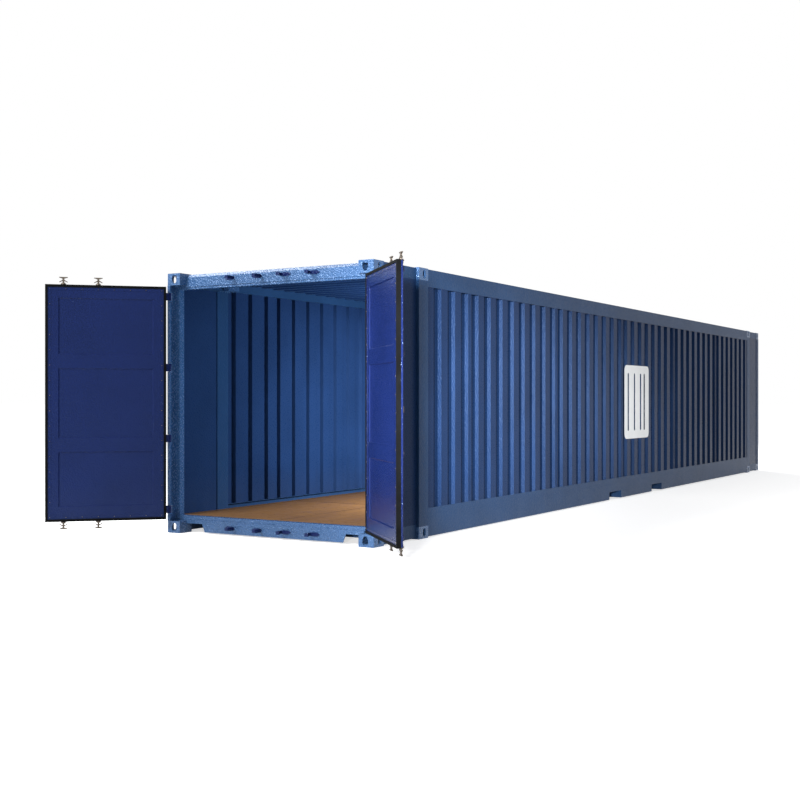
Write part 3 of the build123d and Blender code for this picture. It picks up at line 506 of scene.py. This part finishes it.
def new_tree(name, **inputs):
    """A Geometry Nodes tree with a geometry input, named size inputs and a geometry output."""
    tree = bpy.data.node_groups.new(name, "GeometryNodeTree")
    tree.interface.new_socket("Geometry", in_out="INPUT", socket_type="NodeSocketGeometry")
    for label, (kind, value) in inputs.items():
        socket = tree.interface.new_socket(label, in_out="INPUT", socket_type=kind)
        socket.default_value = value
    tree.interface.new_socket("Geometry", in_out="OUTPUT", socket_type="NodeSocketGeometry")
    return tree, tree.nodes.new("NodeGroupInput"), tree.nodes.new("NodeGroupOutput")


def close_tree(tree, output, geometry, material):
    """Ends a tree in Realize Instances and Set Material."""
    real = add(tree, "GeometryNodeRealizeInstances", {"Geometry": geometry})
    dressed = add(tree, "GeometryNodeSetMaterial",
                  {"Geometry": real.outputs["Geometry"], "Material": material})
    tree.links.new(dressed.outputs["Geometry"], output.inputs["Geometry"])


def grown(name, base, tree, **sizes):
    """Runs a tree on a base mesh and returns the plain mesh that it makes."""
    holder = bpy.data.objects.new(name + "_base", base)
    bpy.context.scene.collection.objects.link(holder)
    modifier = holder.modifiers.new("Grow", "NODES")
    modifier.node_group = tree
    for item in tree.interface.items_tree:
        if item.in_out == "INPUT" and item.name in sizes:
            modifier[item.identifier] = sizes[item.name]
    graph = bpy.context.evaluated_depsgraph_get()
    mesh = bpy.data.meshes.new_from_object(holder.evaluated_get(graph))
    mesh.name = name
    bpy.data.objects.remove(holder)
    if not mesh.polygons:
        raise RuntimeError(f"{name}: the tree made no faces")
    return mesh


def point_mesh(name, points, directions):
    """Loose points, each with the direction that its fixing faces."""
    mesh = bpy.data.meshes.new(name)
    mesh.from_pydata([tuple(p) for p in points], [], [])
    facing = mesh.attributes.new("facing", "FLOAT_VECTOR", "POINT")
    for i, direction in enumerate(directions):
        facing.data[i].vector = direction
    return mesh


def head_tree(name, sides, material, dome):
    """Fixing heads that stand on loose points: a low cone, facing outwards, each at its own angle."""
    tree, given, output = new_tree(
        name, Diameter=("NodeSocketFloat", 0.013), Height=("NodeSocketFloat", 0.003),
        Seed=("NodeSocketInt", 0))
    radius = add(tree, "ShaderNodeMath", {0: given.outputs["Diameter"], 1: 0.5}, operation="MULTIPLY")
    crown = add(tree, "ShaderNodeMath", {0: radius.outputs["Value"], 1: dome}, operation="MULTIPLY")
    head = add(tree, "GeometryNodeMeshCone",
               {"Vertices": sides, "Radius Bottom": radius.outputs["Value"],
                "Radius Top": crown.outputs["Value"], "Depth": given.outputs["Height"]})
    facing = add(tree, "GeometryNodeInputNamedAttribute", {"Name": "facing"}, data_type="FLOAT_VECTOR")
    turn = add(tree, "FunctionNodeAlignRotationToVector", {"Vector": facing.outputs["Attribute"]}, axis="Z")
    spin = add(tree, "FunctionNodeRandomValue", {"Seed": given.outputs["Seed"]}, data_type="FLOAT")
    for socket in spin.inputs:
        if socket.name == "Max" and socket.type == "VALUE":
            socket.default_value = math.tau
    axis = add(tree, "FunctionNodeAxisAngleToRotation",
               {"Axis": (0.0, 0.0, 1.0), "Angle": spin.outputs[1]})
    whole = add(tree, "FunctionNodeRotateRotation",
                {"Rotation": turn.outputs["Rotation"], "Rotate By": axis.outputs["Rotation"]},
                rotation_space="LOCAL")
    heads = add(tree, "GeometryNodeInstanceOnPoints",
                {"Points": given.outputs["Geometry"], "Instance": head.outputs["Mesh"],
                 "Rotation": whole.outputs["Rotation"]})
    close_tree(tree, output, heads.outputs["Instances"], material)
    return tree


def bead_tree(name, material):
    """Weld bead along edges: a small round section whose width wavers as the welder's hand did."""
    tree, given, output = new_tree(
        name, Radius=("NodeSocketFloat", 0.005), Step=("NodeSocketFloat", 0.02), Seed=("NodeSocketInt", 0))
    path = add(tree, "GeometryNodeMeshToCurve", {"Mesh": given.outputs["Geometry"]})
    steps = add(tree, "GeometryNodeResampleCurve",
                {"Curve": path.outputs["Curve"], "Length": given.outputs["Step"]}, mode="LENGTH")
    waver = add(tree, "FunctionNodeRandomValue", {"Seed": given.outputs["Seed"]}, data_type="FLOAT")
    factor = add(tree, "ShaderNodeMapRange", {"Value": waver.outputs[1], "To Min": 0.8, "To Max": 1.2})
    size = add(tree, "ShaderNodeMath", {0: given.outputs["Radius"], 1: factor.outputs["Result"]},
               operation="MULTIPLY")
    sized = add(tree, "GeometryNodeSetCurveRadius",
                {"Curve": steps.outputs["Curve"], "Radius": size.outputs["Value"]})
    section = add(tree, "GeometryNodeCurvePrimitiveCircle", {"Resolution": 6, "Radius": 1.0})
    bead = add(tree, "GeometryNodeCurveToMesh",
               {"Curve": sized.outputs["Curve"], "Profile Curve": section.outputs["Curve"],
                "Fill Caps": True})
    radius = add(tree, "GeometryNodeInputRadius")
    tree.links.new(radius.outputs["Radius"], bead.inputs["Scale"])
    close_tree(tree, output, bead.outputs["Mesh"], material)
    return tree


def path_mesh(name, lines):
    """Loose edges along each line of points."""
    points, edges = [], []
    for line in lines:
        start = len(points)
        points += [tuple(p) for p in line]
        edges += [(start + i, start + i + 1) for i in range(len(line) - 1)]
    mesh = bpy.data.meshes.new(name)
    mesh.from_pydata(points, edges, [])
    return mesh


# Places along the walls

def flute_centres():
    """Flute centres along a side wall, as the folded sheet has them."""
    centres = [0.0]
    while centres[-1] + FLUTE_PITCH <= 2 * (WALL_REACH - WALL_END_MARGIN):
        at_seam = (len(centres) - FLUTES_BEFORE_SEAM) % FLUTES_PER_PANEL == 0
        centres.append(centres[-1] + (SEAM_PITCH if at_seam else FLUTE_PITCH))
    middle = (centres[0] + centres[-1]) / 2
    return [c - middle for c in centres]


def seam_places():
    """The joints between the wall's panels, where two flutes stand nearer to each other."""
    centres = flute_centres()
    narrow = (FLUTE_PITCH + SEAM_PITCH) / 2
    return [(a + b) / 2 for a, b in zip(centres, centres[1:]) if b - a < narrow]


# Operators

class CONTAINER_OT_paint(bpy.types.Operator):
    """Gives every CAD node the finish of its slot. The rail nodes take the darker rail enamel and the cam keepers
    the darker door enamel, both as painted shade
    """

    bl_idname = "container.paint"
    bl_label = "Paint the frame, walls and doors"

    def execute(self, context):
        slots = {s["node"]: s["material_slot"] for s in frame["record"]["subparts"]}
        for name, node in NODES.items():
            look = slots[name]
            # Rails, inboard posts, cross members and the closed end take the darker rail tone, which is painted
            # shade
            if name.startswith(RAIL_NODES):
                look = "rail_paint"
            # The cam keepers take the darker door tone as painted shade, for the shadow that they stand in under
            # the header
            if name == "cam_keepers":
                look = "door_paint"
            node.data.materials.clear()
            node.data.materials.append(finish(look))
        return {"FINISHED"}


class CONTAINER_OT_floor_screws(bpy.types.Operator):
    """Sets rows of screws in the floor boards, at the pitch of the cross members"""

    bl_idname = "container.floor_screws"
    bl_label = "Floor screws"

    def execute(self, context):
        size = settings()
        low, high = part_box("floor_deck")
        middle = (low.x + high.x) / 2
        rows = int((high.x - low.x - 2 * SCREW_MARGIN_X) / CROSSMEMBER_PITCH)
        across = int((high.y - low.y - 2 * SCREW_MARGIN_Y) / size.screw_gap)
        points = [
            ((i - rows / 2) * CROSSMEMBER_PITCH + middle, (j - across / 2) * size.screw_gap, high.z + 0.0004)
            for i in range(rows + 1)
            for j in range(across + 1)
        ]
        base = point_mesh("floor_screw_points", points, [(0.0, 0.0, 1.0)] * len(points))
        tree = head_tree("screw_heads", 10, finish("zinc_steel"), 0.7)
        mesh = grown("floor_screws", base, tree, Diameter=size.screw_head, Height=0.0014, Seed=size.seed)
        piece("floor_screws", mesh, "container", "zinc_steel")
        return {"FINISHED"}


class CONTAINER_OT_gasket_rivets(bpy.types.Operator):
    """Rivets the gasket's retaining strips to both leaves"""

    bl_idname = "container.gasket_rivets"
    bl_label = "Gasket strips and rivets"

    def execute(self, context):
        size = settings()
        for side in ("left", "right"):
            body = f"door_{side}"
            strip = mesh_from(self.strip, f"gasket_strip_{side}")
            piece(f"gasket_strip_{side}", place_on_leaf(strip, side), body, "door_paint")
            points = self.rivets(size.rivet_gap)
            carry = opened(side)
            facing = carry.to_3x3() @ Vector((1.0, 0.0, 0.0))
            base = point_mesh("rivet_points", [carry @ Vector(p) for p in points], [facing] * len(points))
            tree = head_tree(f"rivet_heads_{side}", 8, finish("zinc_steel"), 0.55)
            mesh = grown(f"gasket_rivets_{side}", base, tree, Diameter=0.009, Height=0.003, Seed=size.seed)
            piece(f"gasket_rivets_{side}", mesh, body, "zinc_steel")
        return {"FINISHED"}

    @staticmethod
    def strip(work):
        y0, y1 = LEAF_Y[0] + STRIP_INSET, LEAF_Y[1] - STRIP_INSET
        z0, z1 = LEAF_Z[0] + STRIP_INSET, LEAF_Z[1] - STRIP_INSET
        low, high = z0 + STRIP_WIDTH, z1 - STRIP_WIDTH
        strips = (
            (y0, y1, z0, low),
            (y0, y1, high, z1),
            (y0, y0 + STRIP_WIDTH, low, high),
            (y1 - STRIP_WIDTH, y1, low, high),
        )
        for a, b, c, d in strips:
            prism(work, [(a, c), (b, c), (b, d), (a, d)], LEAF_BACK_X - 0.0005, LEAF_BACK_X + 0.0022, "x")

    @staticmethod
    def rivets(gap):
        x = LEAF_BACK_X + 0.0035
        y0, y1 = LEAF_Y[0] + RIVET_INSET, LEAF_Y[1] - RIVET_INSET
        z0, z1 = LEAF_Z[0] + RIVET_INSET, LEAF_Z[1] - RIVET_INSET
        wide, tall = round((y1 - y0) / gap), round((z1 - z0) / gap)
        points = []
        for i in range(wide + 1):
            y = y0 + (y1 - y0) * i / wide
            points += [(x, y, z0), (x, y, z1)]
        for i in range(1, tall):
            z = z0 + (z1 - z0) * i / tall
            points += [(x, y0, z), (x, y1, z)]
        return points


class CONTAINER_OT_guide_bolts(bpy.types.Operator):
    """Bolts the bar guides to the leaves through a flange on each side"""

    bl_idname = "container.guide_bolts"
    bl_label = "Guide flanges and bolts"

    def execute(self, context):
        size = settings()
        for side in ("left", "right"):
            body = f"door_{side}"
            flanges = mesh_from(self.flanges, f"guide_flanges_{side}")
            piece(f"guide_flanges_{side}", place_on_leaf(flanges, side), body, "zinc_steel")
            carry = opened(side)
            points = [
                carry @ Vector((LEAF_FACE_X - 0.0085, y + dy, z))
                for y in BAR_Y
                for z in GUIDE_Z
                for dy in (-BOLT_OFFSET, BOLT_OFFSET)
            ]
            facing = carry.to_3x3() @ Vector((-1.0, 0.0, 0.0))
            base = point_mesh("bolt_points", points, [facing] * len(points))
            tree = head_tree(f"bolt_heads_{side}", 6, finish("zinc_steel"), 0.93)
            mesh = grown(f"guide_bolts_{side}", base, tree, Diameter=size.bolt_width * HEX_CORNERS,
                         Height=0.009, Seed=size.seed)
            piece(f"guide_bolts_{side}", mesh, body, "zinc_steel")
        return {"FINISHED"}

    def flanges(self, work):
        for y in BAR_Y:
            for z in GUIDE_Z:
                for sign in (-1, 1):
                    prism(work, self.flange(y, z, sign), LEAF_FACE_X - FLANGE_THICKNESS, LEAF_FACE_X, "x")

    @staticmethod
    def flange(y, z, sign):
        """Outline of one flange. Only the one away from the doors' middle has its corners cut."""
        a, b = sorted((y + sign * FLANGE_NEAR, y + sign * FLANGE_FAR))
        cut = b - max(sign * FLANGE_CHAMFER, 0)
        half = FLANGE_HALF_HEIGHT
        short = half - FLANGE_CHAMFER
        return [
            (a, z - half), (cut, z - half), (b, z - short), (b, z + short), (cut, z + half), (a, z + half),
        ]


class CONTAINER_OT_pin_caps(bpy.types.Operator):
    """Puts a washer and a domed cap on both ends of every hinge pin"""

    bl_idname = "container.pin_caps"
    bl_label = "Hinge pin caps"

    def execute(self, context):
        for side, sign in (("left", 1), ("right", -1)):
            mesh = mesh_from(lambda work: self.caps(work, sign), f"pin_caps_{side}")
            piece(f"pin_caps_{side}", mesh, "container", "zinc_steel")
        return {"FINISHED"}

    @staticmethod
    def caps(work, sign):
        for level in HINGE_Z:
            for up in (1, -1):
                base = level + up * PIN_LUG_END
                steps = ((0.0135, 0.0), (0.0135, 0.003), (0.010, 0.003), (0.010, 0.007), (0.0075, 0.0095),
                         (0.003, 0.0105))
                profile = [(radius, base + up * height) for radius, height in steps]
                turned(work, profile, (PIN.x, PIN.y * sign), 20)


class CONTAINER_OT_cam_rings(bpy.types.Operator):
    """Slips turned collars on the locking bars beside their cams"""

    bl_idname = "container.cam_rings"
    bl_label = "Collars on the locking bars"

    def execute(self, context):
        for side in ("left", "right"):
            for name, y in (("inner", BAR_Y[0]), ("outer", BAR_Y[1])):
                rings = mesh_from(lambda work: self.rings(work, y), f"bar_rings_{side}_{name}")
                place_on_leaf(rings, side)
                piece(f"bar_rings_{side}_{name}", rings, f"bar_{side}_{name}", "zinc_steel")
        return {"FINISHED"}

    @staticmethod
    def rings(work, y):
        for end, up in ((LEAF_Z[1], 1), (LEAF_Z[0], -1)):
            base = end + up * 0.004
            steps = ((0.0205, 0.0), (0.0255, 0.002), (0.0265, 0.006), (0.0255, 0.010), (0.0205, 0.012))
            profile = [(radius, base + up * height) for radius, height in steps]
            turned(work, profile, (BAR_X, y), 28)


class CONTAINER_OT_handle_catches(bpy.types.Operator):
    """Adds the catch and retainer that hold each closed handle against its leaf"""

    bl_idname = "container.handle_catches"
    bl_label = "Handle catches"

    def execute(self, context):
        for side in ("left", "right"):
            mesh = mesh_from(self.catches, f"handle_catches_{side}")
            piece(f"handle_catches_{side}", place_on_leaf(mesh, side), f"door_{side}", "zinc_steel")
        return {"FINISHED"}

    @staticmethod
    def catches(work):
        face = LEAF_FACE_X
        for bar, z in zip(BAR_Y, HANDLE_Z):
            y = bar + CATCH_OFFSET
            left, right = y - CATCH_HALF_WIDTH, y + CATCH_HALF_WIDTH
            plate = [(left, z - 0.060), (right, z - 0.060), (right, z - 0.026), (left, z - 0.026)]
            prism(work, plate, face - 0.004, face, "x")
            lip = [(face - 0.036, z - 0.034), (face - 0.004, z - 0.034), (face - 0.004, z - 0.028),
                   (face - 0.036, z - 0.022), (face - 0.040, z - 0.026)]
            prism(work, lip, y - LIP_HALF_WIDTH, y + LIP_HALF_WIDTH, "y")


class CONTAINER_OT_closing_strips(bpy.types.Operator):
    """Closes the joints beside the closed end's posts with a grooved strip on each side"""

    bl_idname = "container.closing_strips"
    bl_label = "Closing strips"

    def execute(self, context):
        mesh = mesh_from(self.strips, "closing_strips")
        piece("closing_strips", mesh, "container", "wall_paint")
        return {"FINISHED"}

    @staticmethod
    def strips(work):
        low, high = CLOSING_X
        middle = (low + high) / 2
        lap, face, groove, back = 0.0005, 0.0008, 0.0022, 0.0045
        section = [
            (low - lap, back), (high + lap, back), (high + lap, face), (middle + 0.006, face),
            (middle + 0.003, groove), (middle - 0.003, groove), (middle - 0.006, face), (low - lap, face),
        ]
        for sign in (1, -1):
            outline = [(x, sign * (FRAME_Y - inset)) for x, inset in section]
            prism(work, outline, *CLOSING_Z)


class CONTAINER_OT_weld_beads(bpy.types.Operator):
    """Runs weld beads along the frame's joints and the seams between wall panels"""

    bl_idname = "container.weld_beads"
    bl_label = "Weld beads"

    def execute(self, context):
        size = settings()
        lines = []
        for sign in (1, -1):
            y = sign * (SHEET_Y + 0.0005)
            for x in seam_places():
                lines.append([(x, y, WALL_FOOT), (x, y, WALL_TOP)])
            lines.append([(-WALL_REACH, y, WALL_TOP + 0.0003), (WALL_REACH, y, WALL_TOP + 0.0003)])
            for x in (DOOR_END_X + CASTING_LENGTH, -DOOR_END_X - CASTING_LENGTH):
                lines.append([(x, sign * FRAME_Y, 2.480), (x, sign * FRAME_Y, 2.585)])
            for x in CLOSING_X:
                lines.append([(x, sign * FRAME_Y, CLOSING_Z[0]), (x, sign * FRAME_Y, CLOSING_Z[1])])
        base = path_mesh("bead_paths", lines)
        mesh = grown("weld_beads", base, bead_tree("weld_bead", finish("wall_paint")),
                     Radius=size.bead_radius, Step=0.03, Seed=size.seed)
        piece("weld_beads", mesh, "container", "wall_paint")
        return {"FINISHED"}


class CONTAINER_OT_white_panel(bpy.types.Operator):
    """Rivets a plain white sheet with four upright slots to the crests of the side wall"""

    bl_idname = "container.white_panel"
    bl_label = "White panel"

    def execute(self, context):
        size = settings()
        sheet = mesh_from(self.sheet, "white_panel")
        piece("white_panel", sheet, "container", "white_paint")
        across, up = PANEL_WIDTH / 2 - 0.03, PANEL_HEIGHT / 2 * 0.86
        points = [
            (PANEL_X + side * across, -SHEET_Y - 0.0035, PANEL_Z + up * share)
            for side in (-1, 1)
            for share in (-1, -0.33, 0.33, 1)
        ]
        base = point_mesh("panel_rivet_points", points, [(0.0, -1.0, 0.0)] * len(points))
        tree = head_tree("panel_rivet_heads", 12, finish("white_paint"), 0.6)
        mesh = grown("panel_rivets", base, tree, Diameter=0.012, Height=0.0012, Seed=size.seed)
        piece("panel_rivets", mesh, "container", "white_paint")
        return {"FINISHED"}

    @staticmethod
    def rounded(middle_x, middle_z, wide, tall, radius):
        """Outline of a rectangle with round corners."""
        outline = []
        for turn, (sx, sz) in enumerate(((1, 1), (-1, 1), (-1, -1), (1, -1))):
            cx, cz = middle_x + sx * (wide / 2 - radius), middle_z + sz * (tall / 2 - radius)
            for i in range(CORNER_STEPS + 1):
                angle = math.pi / 2 * (turn + i / CORNER_STEPS)
                outline.append((cx + radius * math.cos(angle), cz + radius * math.sin(angle)))
        return outline

    def sheet(self, work):
        """The sheet with its slots cut through: a filled face, its copy in front, and walls between."""
        outlines = [self.rounded(PANEL_X, PANEL_Z, PANEL_WIDTH, PANEL_HEIGHT, PANEL_CORNER)]
        outlines += [self.rounded(PANEL_X + x, PANEL_Z, *SLOT_SIZE, SLOT_CORNER) for x in SLOT_X]
        rings = [[work.verts.new((x, -SHEET_Y, z)) for x, z in outline] for outline in outlines]
        pairs = [pair for ring in rings for pair in zip(ring, ring[1:] + ring[:1])]
        edges = [work.edges.new(pair) for pair in pairs]
        bmesh.ops.triangle_fill(work, edges=edges, use_beauty=True)
        front = {vert: work.verts.new((vert.co.x, -SHEET_Y - PANEL_THICKNESS, vert.co.z))
                 for ring in rings for vert in ring}
        for face in work.faces[:]:
            work.faces.new([front[vert] for vert in face.verts])
        for a, b in pairs:
            work.faces.new((a, b, front[b], front[a]))


class CONTAINER_OT_stage(bpy.types.Operator):
    """Sets the pale floor, the soft light and the camera of the photograph"""

    bl_idname = "container.stage"
    bl_label = "Stage"

    def execute(self, context):
        scene = context.scene
        scene.view_settings.view_transform = "Standard"
        self.world(scene)
        self.floor()
        self.lamps()
        self.camera(scene)
        return {"FINISHED"}

    @staticmethod
    def seen(tree):
        """1 for rays that the eye follows straight, off a shiny surface or through glass."""
        path = add(tree, "ShaderNodeLightPath")
        most = add(tree, "ShaderNodeMath",
                   {0: path.outputs["Is Camera Ray"], 1: path.outputs["Is Glossy Ray"]}, operation="MAXIMUM")
        most = add(tree, "ShaderNodeMath",
                   {0: most.outputs["Value"], 1: path.outputs["Is Transmission Ray"]}, operation="MAXIMUM")
        return most.outputs["Value"]

    def world(self, scene):
        """Soft grey light that shows as white."""
        world = bpy.data.worlds.new("studio")
        world.use_nodes = True
        tree = world.node_tree
        tree.nodes.clear()
        soft = add(tree, "ShaderNodeBackground", {"Color": grey(1.0), "Strength": 0.6})
        white = add(tree, "ShaderNodeBackground", {"Color": grey(1.0), "Strength": 1.0})
        mix = add(tree, "ShaderNodeMixShader", {0: self.seen(tree), 1: soft.outputs[0], 2: white.outputs[0]})
        add(tree, "ShaderNodeOutputWorld", {"Surface": mix.outputs[0]})
        scene.world = world

    def floor(self):
        """Wide pale floor just under the container, lifted to white where the eye sees it unshaded."""
        half, level = 300.0, -0.001
        corners = [(-half, -half, level), (half, -half, level), (half, half, level), (-half, half, level)]
        mesh = bpy.data.meshes.new("studio_floor")
        mesh.from_pydata(corners, [], [(0, 1, 2, 3)])
        thing = bpy.data.objects.new("studio_floor", mesh)
        bpy.context.scene.collection.objects.link(thing)
        material, tree = new_material("pale_studio_floor")
        plain = add(tree, "ShaderNodeBsdfDiffuse", {"Color": grey(0.75)})
        lift = add(tree, "ShaderNodeEmission", {"Color": grey(1.0), "Strength": 0.62})
        lifted = add(tree, "ShaderNodeAddShader", {0: plain.outputs[0], 1: lift.outputs[0]})
        mix = add(tree, "ShaderNodeMixShader",
                  {0: self.seen(tree), 1: plain.outputs[0], 2: lifted.outputs[0]})
        add(tree, "ShaderNodeOutputMaterial", {"Surface": mix.outputs[0]})
        mesh.materials.append(material)

    @staticmethod
    def lamp(name, kind, energy, place, aim, **values):
        """One lamp that shines from a place towards an aim."""
        light = bpy.data.lights.new(name, kind)
        light.energy = energy
        for key, value in values.items():
            setattr(light, key, value)
        thing = bpy.data.objects.new(name, light)
        thing.location = place
        thing.rotation_euler = (Vector(place) - Vector(aim)).to_track_quat("Z", "Y").to_euler()
        thing.visible_camera = False
        bpy.context.scene.collection.objects.link(thing)
        return thing

    def lamps(self):
        # In front of the doorway and above it, and behind the closed end
        self.lamp("key", "AREA", 680.0, (-12.8, 2.6, 6.2), (DOOR_END_X, -0.6, 1.6), size=3.0)
        self.lamp("top", "AREA", 420.0, (-6.2, 3.4, 7.4), (DOOR_END_X, 0.0, 2.5), size=3.0)
        self.lamp("back", "AREA", 1500.0, (15.0, 7.5, 8.0), (2.0, 0.0, 1.3), size=4.0)
        # Skims the side wall, so that the far slope of each flute shines
        self.lamp("side", "SPOT", 38000.0, (-19.0, -6.8, 2.4), (-5.2, -1.25, 1.3),
                  spot_size=math.radians(15), spot_blend=1.0, shadow_soft_size=0.7)
        # Lights the cargo space without a glare on its walls
        inside = self.lamp("inside", "POINT", 420.0, (-4.1, -0.8, 1.15), (-4.1, 0.0, 1.15),
                           shadow_soft_size=0.35)
        inside.visible_glossy = False

    @staticmethod
    def camera(scene):
        lens = bpy.data.cameras.new("camera")
        lens.lens = CAMERA_LENS
        lens.sensor_width = SENSOR_WIDTH
        lens.clip_end = 1000.0
        thing = bpy.data.objects.new("camera", lens)
        thing.location = CAMERA_PLACE
        thing.rotation_euler = (math.pi / 2, 0.0, CAMERA_YAW - math.pi / 2)
        scene.collection.objects.link(thing)
        scene.camera = thing


STEPS = (
    CONTAINER_OT_paint, CONTAINER_OT_floor_screws, CONTAINER_OT_gasket_rivets, CONTAINER_OT_guide_bolts,
    CONTAINER_OT_pin_caps, CONTAINER_OT_cam_rings, CONTAINER_OT_handle_catches, CONTAINER_OT_closing_strips,
    CONTAINER_OT_weld_beads, CONTAINER_OT_white_panel, CONTAINER_OT_stage,
)


class CONTAINER_PT_panel(bpy.types.Panel):
    """Lists the container's colours, its sizes and its steps."""

    bl_idname = "CONTAINER_PT_panel"
    bl_label = "Box container"
    bl_space_type = "VIEW_3D"
    bl_region_type = "UI"
    bl_category = "Container"

    def draw(self, context):
        for group in (colours(), settings()):
            box = self.layout.box()
            for name in group.__annotations__:
                box.prop(group, name)
        for step in STEPS:
            self.layout.operator(step.bl_idname)


CLASSES = (ContainerColours, ContainerSizes, *STEPS, CONTAINER_PT_panel)


def register():
    for item in CLASSES:
        bpy.utils.register_class(item)
    bpy.types.Scene.container_colours = PointerProperty(type=ContainerColours)
    bpy.types.Scene.container_sizes = PointerProperty(type=ContainerSizes)


def unregister():
    del bpy.types.Scene.container_sizes
    del bpy.types.Scene.container_colours
    for item in reversed(CLASSES):
        bpy.utils.unregister_class(item)


def main():
    """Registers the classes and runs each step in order."""
    register()
    for step in STEPS:
        group, name = step.bl_idname.split(".")
        getattr(getattr(bpy.ops, group), name)()


if __name__ == "__main__":
    main()
